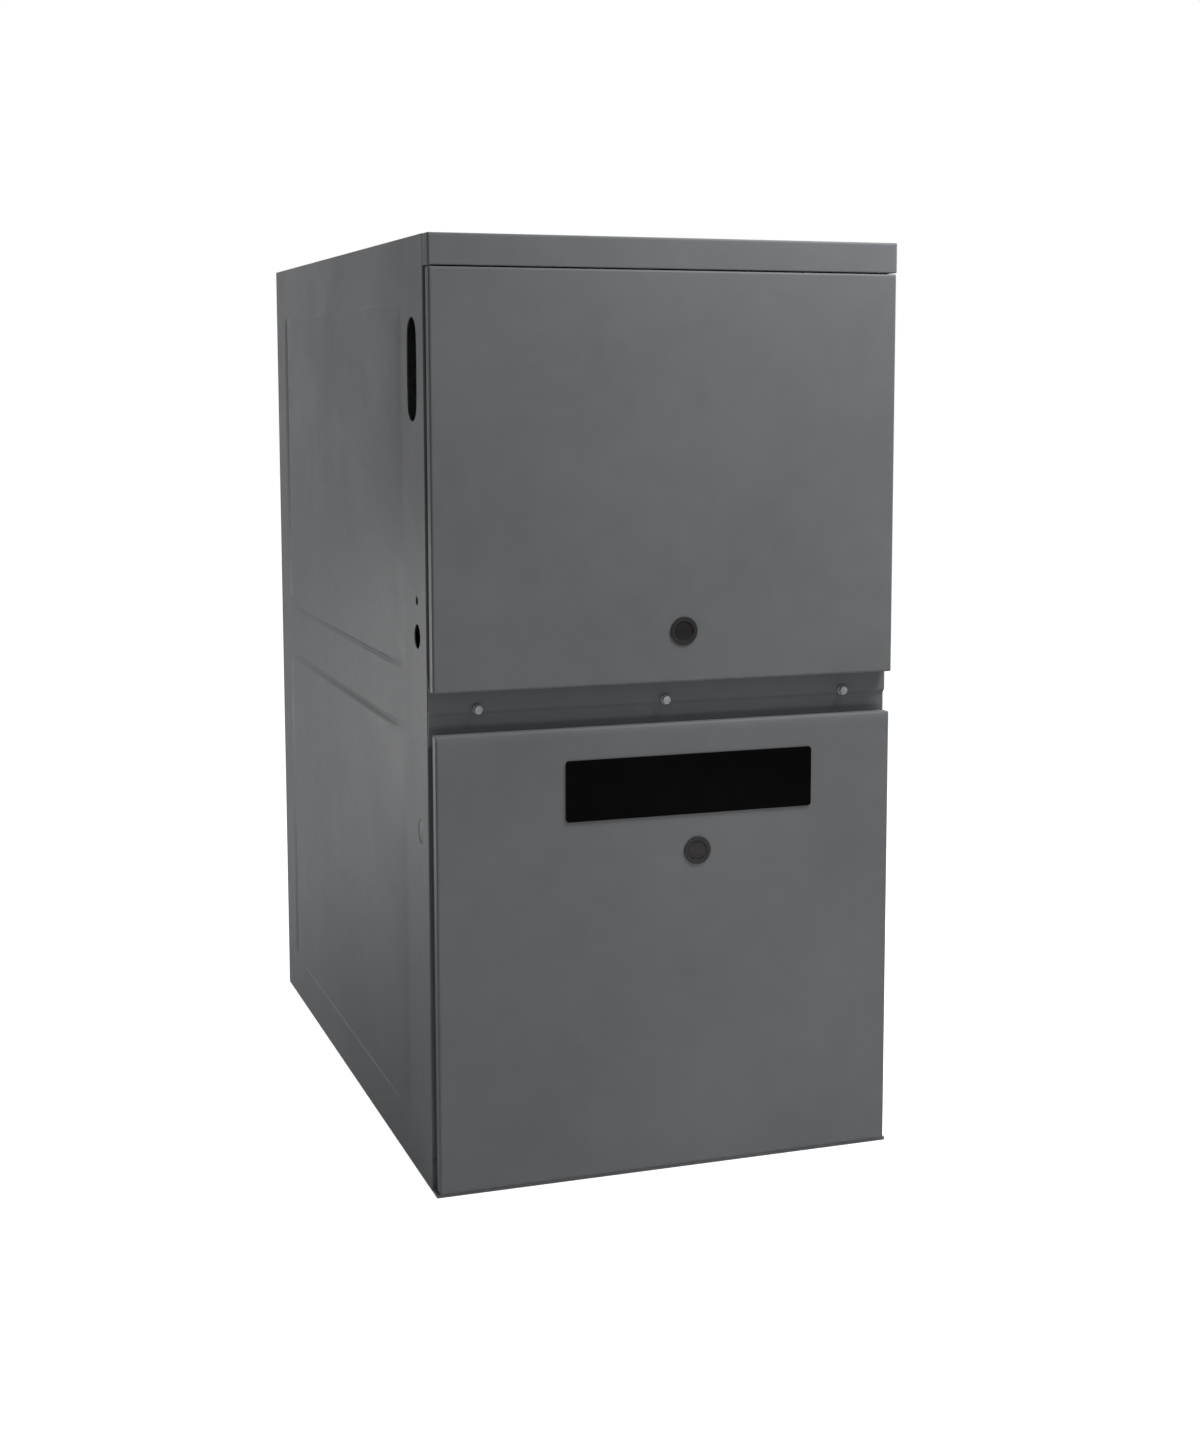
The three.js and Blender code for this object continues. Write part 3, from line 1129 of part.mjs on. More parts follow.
// The wheel: forward-curved blades between end rings and a centre plate, with hub and shaft.
function blowerWheel() {
  const half = WHEEL_WIDTH / 2;
  const inner = WHEEL_RADIUS - BLADE_CHORD;
  const plate = rod("x", inner + PLATE_LAP, -SHEET, SHEET, [0, 0], BLADE_COUNT);
  const hub = rod("x", HUB_RADIUS, PLATE_LAP - MOTOR_INSET, HUB_END, [0, 0], 12);
  const shaft = rod("x", SHAFT_RADIUS, -MOTOR_INSET - SHAFT_IN_MOTOR, SHAFT_END, [0, 0], 12);
  const rings = [-1, 1].map((side) => {
    const outer = side * half;
    const inward = outer - side * RING_DEPTH;
    const profile = [
      [WHEEL_RADIUS - RING_WIDTH, outer],
      [WHEEL_RADIUS, outer],
      [WHEEL_RADIUS, inward],
      [WHEEL_RADIUS - RING_WIDTH, inward],
    ];
    return turned("x", profile, BLADE_COUNT);
  });
  const blade = prism("x", bladeSection(inner, WHEEL_RADIUS - SHEET), SHEET - half, half - SHEET);
  const step = 360 / BLADE_COUNT;
  const blades = Array.from({ length: BLADE_COUNT }, (_, i) => blade.rotate([step * i, 0, 0]));
  return join(plate, hub, shaft, ...rings, ...blades);
}

// A thin arc that leans forward from the inner to the outer circle.
function bladeSection(inner, outer) {
  const steps = 2;
  const edge = (offset) =>
    Array.from({ length: steps + 1 }, (_, i) => {
      const share = i / steps;
      return [inner + (outer - inner) * share, BLADE_LEAN * share * share + offset];
    });
  return [...edge(0), ...edge(BLADE_THICKNESS).reverse()];
}

// The direct-drive motor: a can inside the left half of the wheel, open at the shaft end.
function blowerMotor() {
  const right = -MOTOR_INSET;
  const left = right - MOTOR_LENGTH;
  const cap = (end, inward) => [
    [0, end],
    [MOTOR_NOSE[0], end],
    [MOTOR_NOSE[1], end + inward * MOTOR_CAP[0]],
    [MOTOR_RADIUS - MOTOR_ROUND, end + inward * MOTOR_CAP[1]],
    [MOTOR_RADIUS, end + inward * MOTOR_CAP[2]],
  ];
  const profile = [...cap(left, 1), ...cap(right, -1).reverse()];
  const bored = [right - SHAFT_IN_MOTOR - SHEET, right + SHEET];
  const bore = rod("x", SHAFT_RADIUS + GAP, ...bored, [0, 0], 12);
  return turned("x", profile, 16).subtract(bore);
}

// The band round the motor and its three arms to the inlet's rim.
function motorMount() {
  const plate = -HOUSING_HALF - GAP;
  const bandX = [plate - BAND_WIDTH, plate];
  const inner = MOTOR_RADIUS + GAP;
  const outer = inner + BAND_THICKNESS;
  const section = [[inner, bandX[0]], [outer, bandX[0]], [outer, bandX[1]], [inner, bandX[1]]];
  const root = MOTOR_RADIUS + SHEET;
  const y = [-ARM_WIDTH / 2, ARM_WIDTH / 2];
  const arm = block([plate - ARM_THICKNESS, plate], y, [root, INLET_RADIUS + ARM_LAP]);
  const foot = block(bandX, y, [root, root + ARM_THICKNESS]);
  const arms = ARM_ANGLES.map((angle) => arm.add(foot).rotate([angle, 0, 0]));
  return join(turned("x", section, 16), ...arms);
}

// The run capacitor: a can strapped to the right side plate, with two terminals.
function capacitor() {
  const x = HOUSING_HALF + GAP;
  const [thickness, reach] = STRAP_FOOT;
  const axis = [x + thickness + CAPACITOR_RADIUS, 0];
  const top = CAPACITOR_HEIGHT + CAP_INSET;
  const can = rod("z", CAPACITOR_RADIUS, 0, CAPACITOR_HEIGHT, axis, 12);
  const cap = rod("z", CAPACITOR_RADIUS - CAP_INSET, CAPACITOR_HEIGHT - SHEET, top, axis, 12);
  const strapZ = [STRAP_RISE, STRAP_RISE + STRAP_WIDTH];
  const strap = rod("z", CAPACITOR_RADIUS + 1.5, ...strapZ, axis, 12);
  const footY = [-CAPACITOR_RADIUS - reach, CAPACITOR_RADIUS + reach];
  const foot = block([x, x + thickness], footY, strapZ);
  const web = block([x, axis[0]], shrink(footY, 1.25 * reach), strapZ);
  const tabX = [axis[0] - TAB[0] / 2, axis[0] + TAB[0] / 2];
  const tab = (y) => block(tabX, [y - TAB[1] / 2, y + TAB[1] / 2], [top - ROOT, top - ROOT + TAB[2]]);
  return join(can, cap, strap, foot, web, tab(-TAB_PLACE), tab(TAB_PLACE));
}

// ---------------------------------------------------------------- deck and controls
// The deck between the compartments: outlet opening, apron for the channel screws, blower runners.
function blowerDeck() {
  const x = [-INSIDE_X + GAP, INSIDE_X - GAP];
  const y = [INSIDE_FRONT_Y, INSIDE_BACK_Y];
  const sheet = block(x, y, [DECK_Z - SHEET, DECK_Z]);
  const apron = block(x, [y[0], y[0] + SHEET], [DECK_Z - DECK_APRON, DECK_Z]);
  const openingX = [-HOUSING_HALF + OUTLET_LAP, HOUSING_HALF - OUTLET_LAP];
  const runnerY = [BLOWER_Y + CUTOFF_Y, BLOWER_Y + SCROLL_END];
  const outlet = block(openingX, shrink(runnerY, OUTLET_LAP), [DECK_Z - 2 * SHEET, DECK_Z + SHEET]);
  let deck = join(sheet, apron).subtract(outlet);
  const wall = HOUSING_HALF + BLOWER_FLANGE + GAP;
  const drop = SHEET + 2 * GAP + SHEET;
  const lipTop = DECK_Z - SHEET - drop + SHEET;
  for (const side of [-1, 1]) {
    const span = (a, b) => [Math.min(side * a, side * b), Math.max(side * a, side * b)];
    const runnerZ = [lipTop - SHEET, DECK_Z - SHEET + ROOT];
    deck = deck.add(block(span(wall, wall + SHEET), runnerY, runnerZ));
    deck = deck.add(block(span(wall - RAIL_LIP, wall + SHEET), runnerY, [lipTop - SHEET, lipTop]));
  }
  return SCREW_X.reduce((left, sx) => left.subtract(screwHole(sx)), deck);
}

const BRACKET_Y = CASE_Y + BRACKET_SET_BACK;

// The plate behind the controls, hung from the deck by its top flange.
function controlBracket() {
  const top = DECK_Z - SHEET - GAP;
  const foot = DECK_Z - BRACKET_HEIGHT;
  const plate = block(BRACKET_X, [BRACKET_Y, BRACKET_Y + SHEET], [foot, top]);
  const flange = block(BRACKET_X, [BRACKET_Y, BRACKET_Y + SKIRT], [top - SHEET, top]);
  const edges = BRACKET_X.map((x) => {
    const span = x < 0 ? [x, x + SHEET] : [x - SHEET, x];
    return block(span, [BRACKET_Y, BRACKET_Y + SKIRT], [foot, top]);
  });
  return join(plate, flange, ...edges);
}

// The control board on its standoffs, with relays, terminals and the status lamp.
function controlBoard() {
  const back = BRACKET_Y - GAP;
  const front = back - BOARD_STANDOFF - BOARD_THICKNESS;
  const root = front + ROOT;
  const board = block(BOARD_X, [front, front + BOARD_THICKNESS], BOARD_Z);
  const standing = ([width, height, depth], x, z) =>
    block([x, x + width], [front - depth, root], [z, z + height]);
  const [left, right] = BOARD_X;
  const [bottom, top] = BOARD_Z;
  const posts = shrink(BOARD_X, BOARD_EDGE).flatMap((x) =>
    shrink(BOARD_Z, BOARD_EDGE).map((z) => rod("y", STANDOFF_RADIUS, root, back, [z, x], 8)),
  );
  const relayZ = top - RELAY_MARGIN - RELAY[1];
  const relays = [0, 1, 2].map((i) => standing(RELAY, left + RELAY_MARGIN + RELAY_PITCH * i, relayZ));
  return join(
    board,
    ...posts,
    ...relays,
    standing(TERMINALS, left + FUSE_BLOCK[0], bottom + BOARD_EDGE),
    standing(BOARD_PLUG, right - BOARD_EDGE - BOARD_PLUG[0], bottom + PARTS_RISE),
    standing(FUSE_BLOCK, left + BOARD_MARGIN, bottom + PARTS_RISE),
    standing(CHIP, left + CHIP_SEAT[0], bottom + CHIP_SEAT[1]),
    rod("y", LAMP_RADIUS, front - LAMP_DEPTH, root, [LOWER_PORT[1], LOWER_PORT[0]], 10),
  );
}

// The transformer: a laminated core, a coil through it and mounting feet.
function transformer() {
  const seat = BRACKET_Y - GAP;
  const centred = ([width, depth, height], back) =>
    block([-width / 2, width / 2], [back - depth, back], [-height / 2, height / 2]);
  const z = [-FOOT_SIZE[2] / 2, FOOT_SIZE[2] / 2];
  const legs = [LEG_SPAN, LEG_SPAN.map((x) => -x).reverse()].map((span) =>
    block(span, [seat - LEG_LENGTH, seat], z),
  );
  return join(
    centred(CORE_SIZE, seat - CORE_SET_OUT),
    centred(COIL_SIZE, seat - SHEET),
    centred(FOOT_SIZE, seat),
    ...legs,
  );
}

// The door switch: a body on a strap that hangs from the deck's apron.
const STRAP_Y = INSIDE_FRONT_Y + SHEET + GAP;
const SWITCH_FRONT_Y = STRAP_Y + SHEET;
function doorSwitch() {
  const [w, d, h] = DOOR_SWITCH_SIZE;
  const body = block([-w / 2, w / 2], [SWITCH_FRONT_Y, SWITCH_FRONT_Y + d], [-h / 2, h / 2]);
  const strapZ = [-h / 2, DECK_Z - SHEET - GAP - DOOR_SWITCH_Z];
  const strapX = [-SWITCH_STRAP[0] / 2, SWITCH_STRAP[0] / 2];
  const strap = block(strapX, [STRAP_Y, STRAP_Y + SWITCH_STRAP[1]], strapZ);
  const seat = SWITCH_FRONT_Y + PLUNGER_SEAT + PLUNGER_TRAVEL + SHEET;
  const bore = rod("y", PLUNGER_RADIUS + GAP, STRAP_Y - SHEET, seat, [0, 0], 12);
  return join(body, strap).subtract(bore);
}

// The plunger, which ends just clear of the closed door.
function doorSwitchPlunger() {
  const tip = FACE_Y + SHEET + GAP;
  return rod("y", PLUNGER_RADIUS, tip, SWITCH_FRONT_Y + PLUNGER_SEAT, [0, 0], 12);
}

// The junction box on the left side panel.
function junctionBox() {
  const [w, d, h] = JUNCTION_SIZE;
  const y = INSIDE_FRONT_Y + GAP;
  const [foot, head] = [KNOCKOUT_Z - h / 2, KNOCKOUT_Z + h / 2];
  const face = -INSIDE_X + w;
  const outer = block([-INSIDE_X, face], [y, y + d], [foot, head]);
  const [thickness, over] = JUNCTION_COVER;
  const coverX = [face - SHEET, face - SHEET + thickness];
  const cover = block(coverX, [y - SHEET, y + d + over], [foot - over, head + over]);
  const gland = rod("z", GLAND_RADIUS, head - SHEET, head + GLAND, [face - w / 2, y + d / 2], 12);
  return join(outer, cover, gland);
}

// ---------------------------------------------------------------- assembly
const furnace = new THREE.Group();
const doors = new THREE.Group();
const heatSection = new THREE.Group();
const blowerSection = new THREE.Group();
heatSection.position.set(0, PANEL_Y, BURNER_Z);
blowerSection.position.set(0, BLOWER_Y, SHAFT_Z);
furnace.add(doors, heatSection, blowerSection);

function place(group, name, body, material, position = [0, 0, 0]) {
  const mesh = new THREE.Mesh(geometryOf(body), material);
  mesh.name = name;
  mesh.position.set(...position);
  group.add(mesh);
  return mesh;
}

// Casing
place(furnace, "left_side_panel", sidePanel(), paint);
place(furnace, "right_side_panel", sidePanel(), paint).scale.x = -1;
place(furnace, "rear_panel", rearPanel(), paint);
place(furnace, "top_frame", topFrame(), galvanised);
place(furnace, "base_frame", baseFrame(), galvanised);
place(furnace, "base_rail", baseRail(), paint);
place(furnace, "top_rail", topRail(), paint);
place(furnace, "door_channel", doorChannel(), paint);
SCREW_X.forEach((x, i) => {
  const seat = [x, RING_Y - CHANNEL_STEP, SCREW_Z];
  place(furnace, `channel_screw_${i + 1}`, channelScrew(), zinc, seat);
});

// Doors
place(doors, "upper_door", upperDoor(), paint);
place(doors, "upper_door_gasket", doorGasket(UPPER_DOOR_X, UPPER_DOOR_Z), blackRubber);
place(doors, "upper_door_liner", doorLiner(), foil);
place(doors, "upper_port_bezel", portBezel(), blackPlastic, [UPPER_PORT[0], FACE_Y, UPPER_PORT[1]]);
place(doors, "upper_port_glass", portGlass(), darkGlass, [UPPER_PORT[0], FACE_Y, UPPER_PORT[1]]);
place(doors, "lower_door", lowerDoor(), paint);
place(doors, "lower_door_gasket", doorGasket(LOWER_DOOR_X, LOWER_DOOR_Z), blackRubber);
place(doors, "lower_port_bezel", portBezel(), blackPlastic, [LOWER_PORT[0], FACE_Y, LOWER_PORT[1]]);
place(doors, "lower_port_glass", portGlass(), darkGlass, [LOWER_PORT[0], FACE_Y, LOWER_PORT[1]]);
place(doors, "name_plate", namePlate(), blackPlastic);

// Heat section
place(heatSection, "vestibule_panel", vestibulePanel(), galvanised);
TUBE_X.forEach((x, i) => {
  place(heatSection, `heat_exchanger_tube_${i + 1}`, heatExchangerTube(), aluminised, [x, 0, 0]);
  place(heatSection, `burner_${i + 1}`, burner(), aluminised, [x, 0, 0]);
});
place(heatSection, "burner_box", burnerBox(), galvanised);
place(heatSection, "gas_manifold", gasManifold(), blackPipe);
const valveSeat = [VALVE_X, MANIFOLD_Y, VALVE_RISE];
place(heatSection, "gas_valve", gasValve(), castAluminium, valveSeat);
const knobSeat = [VALVE_X + KNOB_X, MANIFOLD_Y - VALVE_SIZE[1] / 2, VALVE_RISE + KNOB_Z];
place(heatSection, "gas_valve_knob", valveKnob(), redPlastic, knobSeat);
place(heatSection, "igniter", igniter(), ceramic, [TUBE_X[TUBE_COUNT - 1], 0, 0]);
place(heatSection, "flame_sensor", flameSensor(), ceramic, [TUBE_X[0], 0, 0]);
[["left", -1], ["right", 1]].forEach(([side, way]) => {
  const seat = [way * (BOX_HALF + GAP), ROLLOUT_Y, ROLLOUT_Z];
  place(heatSection, `rollout_switch_${side}`, rolloutSwitch(), blackPlastic, seat).scale.x = way;
  place(heatSection, `rollout_button_${side}`, resetButton(), redPlastic, seat).scale.x = way;
});
place(heatSection, "limit_switch", limitSwitch(), zinc, [0, 0, LIMIT_Z]);
place(heatSection, "pressure_switch", pressureSwitch(), blackPlastic, [PRESSURE_X, 0, PRESSURE_Z]);
place(heatSection, "pressure_hose", pressureHose(), blackRubber);
place(heatSection, "collector_box", collectorBox(), aluminised);
const inducerSeat = [INDUCER_X, INDUCER_Y, TOP_PASS];
place(heatSection, "inducer_housing", inducerHousing(), darkSteel, inducerSeat);
place(heatSection, "inducer_wheel", inducerWheel(), aluminised, inducerSeat);
place(heatSection, "inducer_motor", inducerMotor(), darkSteel, inducerSeat);
const collarSeat = [
  INDUCER_X + OUTLET_CENTRE,
  INDUCER_Y - INDUCER_WIDTH / 2,
  TOP_PASS + VENT_TOP - VENT_COLLAR_HEIGHT,
];
place(heatSection, "vent_collar", ventCollar(), galvanised, collarSeat);

// Blower section
place(blowerSection, "blower_housing", blowerHousing(), galvanised);
place(blowerSection, "blower_wheel", blowerWheel(), galvanised);
place(blowerSection, "blower_motor", blowerMotor(), darkSteel);
place(blowerSection, "motor_mount", motorMount(), galvanised);
place(blowerSection, "capacitor", capacitor(), zinc, [0, CAPACITOR_BACK, CAPACITOR_RISE]);

// Deck and controls
place(furnace, "blower_deck", blowerDeck(), galvanised);
place(furnace, "control_bracket", controlBracket(), galvanised);
place(furnace, "control_board", controlBoard(), boardGreen);
const transformerSeat = [BRACKET_X[0] + TRANSFORMER_MARGIN, 0, DECK_Z - TRANSFORMER_BELOW_DECK];
place(furnace, "transformer", transformer(), darkSteel, transformerSeat);
const switchSeat = [DOOR_SWITCH_X, 0, DOOR_SWITCH_Z];
place(furnace, "door_switch", doorSwitch(), blackPlastic, switchSeat);
place(furnace, "door_switch_plunger", doorSwitchPlunger(), ceramic, switchSeat);
place(furnace, "junction_box", junctionBox(), galvanised);

export default furnace;
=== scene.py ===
"""Forced air gas furnace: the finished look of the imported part.

Lengths are in millimetres in the part's frame (+X right, +Y back, +Z up) and become metres when a
mesh is made. Shapes are surfaces worked out with numpy: an outline or a section carried along a path.
"""

import json
import math

import bpy
import numpy as np
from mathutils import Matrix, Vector


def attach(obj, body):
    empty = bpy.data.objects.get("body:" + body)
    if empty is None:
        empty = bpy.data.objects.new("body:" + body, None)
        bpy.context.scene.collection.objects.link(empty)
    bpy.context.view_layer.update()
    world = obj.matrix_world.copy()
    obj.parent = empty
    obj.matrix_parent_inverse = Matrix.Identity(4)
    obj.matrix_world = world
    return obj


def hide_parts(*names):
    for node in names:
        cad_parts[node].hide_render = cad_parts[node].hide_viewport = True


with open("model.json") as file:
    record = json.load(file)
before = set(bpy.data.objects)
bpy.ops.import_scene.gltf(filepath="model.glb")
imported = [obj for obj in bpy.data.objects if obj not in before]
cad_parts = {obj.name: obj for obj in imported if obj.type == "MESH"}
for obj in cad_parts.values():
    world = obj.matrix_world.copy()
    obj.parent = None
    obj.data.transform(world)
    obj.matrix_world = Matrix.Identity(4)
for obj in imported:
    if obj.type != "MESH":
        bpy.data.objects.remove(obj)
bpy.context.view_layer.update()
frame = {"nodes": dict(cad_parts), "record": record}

for plain in list(bpy.data.materials):
    bpy.data.materials.remove(plain)
MM = 0.001
TAU = 2 * math.pi

# ------------ sizes shared with the solids: spots on a front are (x, z), those on a side (y, z)
HALF, HEIGHT, SHEET, GAP = 222.25, 856.0, 1.0, 0.3
FACE_Y, CASE_Y, BACK_Y, RING_Y = -367.4, -348.4, 368.6, -349.7
DOOR_BACK_Y = RING_Y - GAP - 5.4
UPPER_X, UPPER_Z = (-HALF + 0.6, HALF - 0.6), (458.0, 827.5)
LOWER_X, LOWER_Z = (-HALF + 2.4, HALF - 2.4), (3.3, 420.0)
RAIL_Z = (828.5, HEIGHT)
UPPER_PORT, LOWER_PORT, PORT_HOLE = (12.6, 504.5), (26.3, 301.0), 10.5
FIELD_Y = (FACE_Y + 96, BACK_Y - 70)
UPPER_FIELD, LOWER_FIELD = (466.0, 804.0), (46.0, 414.0)
PLATE_X, PLATE_Z = (-100.5, 139.5), (335.5, 391.5)
SCREW_X, SCREW_Z = (-177.5, 0.0, 177.5), 440.5
KNOCKOUT = (FACE_Y + 46, 327.0)
POLE = 0.03  # the radius at which a turned piece closes on its axis


# ------------ points to meshes
def to_axis(points, axis):
    """(a, b, h) points with h along the axis: a, b are x, y for "z", x, z for "y" and y, z for "x"."""
    order = {"z": (0, 1, 2), "y": (0, 2, 1), "x": (2, 0, 1)}[axis]
    return np.asarray(points, float)[..., order]


def about(middle, half):
    """The span from half below a middle to half above it."""
    return middle - half, middle + half


def grid(points, around=True, closed=False, caps=True):
    """A shell over points[station, place]: quads between stations, closed round each station, and
    either closed from the last station to the first or capped at both ends."""
    n, m = points.shape[:2]
    i, j = np.meshgrid(np.arange(n if closed else n - 1), np.arange(m if around else m - 1), indexing="ij")
    k, l = (i + 1) % n, (j + 1) % m
    faces = np.stack([i * m + j, k * m + j, k * m + l, i * m + l], -1).reshape(-1, 4).tolist()
    if caps and around and not closed:
        faces += [list(range(m)), list(range(n * m - 1, (n - 1) * m - 1, -1))]
    return points.reshape(-1, 3), faces


def prism(rings, axis):
    """A capped shell through rings of (a, b, h), with h along the axis."""
    return grid(to_axis(np.array(rings), axis))


def outward(points, faces):
    """The faces, turned over together if the shell they close has a negative volume."""
    corners = np.array([(f[0], f[i], f[i + 1]) for f in faces for i in range(1, len(f) - 1)])
    a, b, c = (points[corners[:, s]] for s in range(3))
    inside_out = np.einsum("ij,ij->", a, np.cross(b, c)) < 0
    return [f[::-1] for f in faces] if inside_out else faces


def placed(name, data):
    """A new object in the scene for a mesh, a lamp or a camera."""
    thing = bpy.data.objects.new(name, data)
    bpy.context.scene.collection.objects.link(thing)
    return thing


def piece(name, material, *shells, body="casing", stands_for=None, slot=None, sharp=32, flip=True):
    """One object from closed shells of (points in mm, faces), smooth but for edges over sharp degrees."""
    points, faces, base = [], [], 0
    for shell_points, shell_faces in shells:
        turned = outward(shell_points, shell_faces) if flip else shell_faces
        faces += [[base + v for v in f] for f in turned]
        points.append(shell_points)
        base += len(shell_points)
    mesh = bpy.data.meshes.new(name)
    mesh.from_pydata(np.concatenate(points) * MM, [], faces)
    mesh.validate()
    mesh.shade_smooth()
    mesh.set_sharp_from_angle(angle=math.radians(sharp))
    mesh.materials.append(material)
    thing = placed(name, mesh)
    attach(thing, body)
    slot or material.name
    if stands_for is not None:
        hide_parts(stands_for)
    return thing


# ------------ outlines and shells
def polar(centre, radius, angle):
    """Points (a, b) at a radius and an angle round a centre."""
    return np.stack([centre[0] + radius * np.cos(angle), centre[1] + radius * np.sin(angle)], -1)


def rounded(a, b, radius, arc=5):
    """A rectangle's outline over the spans a and b with quarter-circle corners, as points (a, b)."""
    quarter = np.radians(np.linspace(0, 90, arc))
    corners = [(a[1] - radius, b[0] + radius), (a[1] - radius, b[1] - radius), (a[0] + radius, b[1] - radius),
               (a[0] + radius, b[0] + radius)]
    return np.concatenate([polar(c, radius, quarter + (k - 1) * TAU / 4) for k, c in enumerate(corners)])


def at(outline, height):
    """An outline of (a, b) lifted to one place along its axis."""
    return np.concatenate([outline, np.full((len(outline), 1), float(height))], -1)


def edge_arc(radius, steps=4):
    """Quarter-circle roll of an edge: (inset, drop) pairs from the flat face round to the side."""
    angle = np.radians(np.linspace(0, 90, steps + 1))
    return np.stack([radius * (1 - np.sin(angle)), radius * (1 - np.cos(angle))], -1)


def slab(a, b, h, axis="z", edge=0.6, corner=1.2):
    """A block with every edge rolled: its rounded outline is drawn in by the roll at both ends."""
    least = min(a[1] - a[0], b[1] - b[0])
    edge, corner = min(edge, 0.2 * least, 0.4 * (h[1] - h[0])), min(corner, 0.45 * least)
    roll = edge_arc(edge, 3)
    rolls = [(i, h[0] + d) for i, d in roll] + [(i, h[1] - d) for i, d in roll[::-1]]
    stations = [(2 * edge, h[0])] + rolls + [(2 * edge, h[1])]
    return prism([at(rounded((a[0] + i, a[1] - i), (b[0] + i, b[1] - i), max(corner - i / 2, 0.15)), p)
                  for i, p in stations], axis)


def spin(profile, axis="z", centre=(0, 0), sides=48, closed=True):
    """A turned shell: profile points are (radius, place along the axis), carried round the axis."""
    angle = np.linspace(0, TAU, sides, endpoint=False)
    rings = [at(polar(centre, radius, angle), place) for radius, place in np.asarray(profile, float)]
    return grid(to_axis(np.array(rings), axis), closed=closed)


def peg(radius, h, axis, centre, edge=0.4, sides=32):
    """A round bar with rolled ends, along the axis."""
    rolls = edge_arc(min(edge, radius * 0.5), 3)
    pole = 0.02
    profile = [(pole, h[0])] + [(radius - i, h[0] + d) for i, d in rolls]
    profile += [(radius - i, h[1] - d) for i, d in rolls[::-1]] + [(pole, h[1])]
    return spin(profile, axis, centre, sides, closed=False)


def softened(profile, radius, steps=3):
    """A profile with each corner replaced by a curve that starts and ends radius away from it."""
    p = np.asarray(profile, float)
    before, after = np.roll(p, 1, 0) - p, np.roll(p, -1, 0) - p
    reach = np.minimum(radius, 0.45 * np.minimum(np.hypot(*before.T), np.hypot(*after.T)))[:, None]
    start = p + before / np.hypot(*before.T)[:, None] * reach
    end = p + after / np.hypot(*after.T)[:, None] * reach
    t = np.linspace(0, 1, steps + 1)[None, :, None]
    curve = (1 - t) ** 2 * start[:, None] + 2 * t * (1 - t) * p[:, None] + t ** 2 * end[:, None]
    return curve.reshape(-1, 2)


def ring(profile, axis, centre, soft=0.4, sides=48):
    """A turned closed section with softened corners."""
    return spin(softened(profile, soft), axis, centre, sides)


def bar(profile, span, axis, radius=0.4):
    """A prism whose closed profile, softened at its corners, runs along the axis; flat ends."""
    return prism([at(softened(profile, radius), h) for h in span], axis)


def sweep(path, radius, sides=16, across=(1, 0, 0)):
    """A round tube along a path: rings stand across the path's direction, which the points give by
    central differences; the first axis of each ring is square to the direction and to across."""
    path = np.asarray(path, float)
    ahead = np.gradient(path, axis=0)
    ahead /= np.linalg.norm(ahead, axis=1)[:, None]
    first = np.cross(ahead, across)
    first /= np.linalg.norm(first, axis=1)[:, None]
    second = np.cross(ahead, first)
    angle = np.linspace(0, TAU, sides, endpoint=False)[None, :, None]
    if np.ndim(radius) < 2:
        radius = np.broadcast_to(radius, len(path))[:, None]
    rings = first[:, None] * np.cos(angle) + second[:, None] * np.sin(angle)
    return path[:, None] + radius[..., None] * rings


# ------------ camera and light
camera = placed("camera", bpy.data.cameras.new("camera"))
camera.location = (-0.6635, -2.1451, 0.7305)
camera.rotation_euler = (math.radians(90 - 6.611), 0, math.radians(-19.557))
camera.data.lens, camera.data.sensor_width = 52.491, 36
camera.data.shift_x, camera.data.shift_y = -0.02604, -0.06847
bpy.context.scene.camera = camera


def softbox(name, place, target, size, watts):
    """A rectangular lamp at a place, whose -Z looks at a target."""
    lamp = bpy.data.lights.new(name, "AREA")
    lamp.shape, lamp.size, lamp.size_y, lamp.energy = "RECTANGLE", size[0], size[1], watts
    thing = placed(name, lamp)
    thing.location = place
    thing.rotation_euler = (Vector(target) - thing.location).to_track_quat("-Z", "Y").to_euler()


softbox("key", (0.58, -0.8, 1.54), (0.1, -0.36, 0.75), (0.5, 0.5), 23)
softbox("fill", (-1.1, 1.0, 0.24), (-0.22, 0.2, 0.12), (0.7, 0.4), 6.8)
softbox("front", (0.25, -1.2, 0.12), (0.1, -0.36, 0.08), (0.9, 0.2), 1.8)
softbox("top", (0.2, 0.3, 3.0), (0, 0, 0.5), (2.0, 2.0), 8)

bpy.context.scene.view_settings.view_transform = "Standard"


# ------------ node tools
class Nodes:
    """A small builder over a node tree: each call adds one node and links what it is given."""

    def __init__(self, tree):
        self.tree = tree

    def add(self, kind, inputs=(), **settings):
        """A node of one kind: sockets among its inputs are linked to it, and values are set on it."""
        node = self.tree.nodes.new(kind)
        for key, value in settings.items():
            setattr(node, key, value)
        for key, value in dict(inputs).items():
            if isinstance(value, bpy.types.NodeSocket):
                self.tree.links.new(value, node.inputs[key])
            else:
                node.inputs[key].default_value = value
        return node

    def math(self, operation, a, b=0.0, c=0.0):
        """The result of one operation on up to three values."""
        return self.add("ShaderNodeMath", {0: a, 1: b, 2: c}, operation=operation).outputs[0]

    def use(self, tree, **inputs):
        """The outputs of one node group that is given its inputs by name."""
        return self.add("ShaderNodeGroup", inputs, node_tree=tree).outputs

    def eye_and_mirror(self):
        """Two masks: one for the eye's own rays, and one for those of gloss and glass."""
        path = self.add("ShaderNodeLightPath").outputs
        return path["Is Camera Ray"], self.math("MAXIMUM", path["Is Glossy Ray"], path["Is Transmission Ray"])


def cleared(holder):
    """A builder over the emptied node tree of a material or a world."""
    holder.use_nodes = True
    holder.node_tree.nodes.clear()
    return Nodes(holder.node_tree)


def noise(n, given, scale, detail):
    """A noise texture at the given place."""
    return n.add("ShaderNodeTexNoise", {"Vector": given["Place"], "Scale": scale, "Detail": detail}).outputs


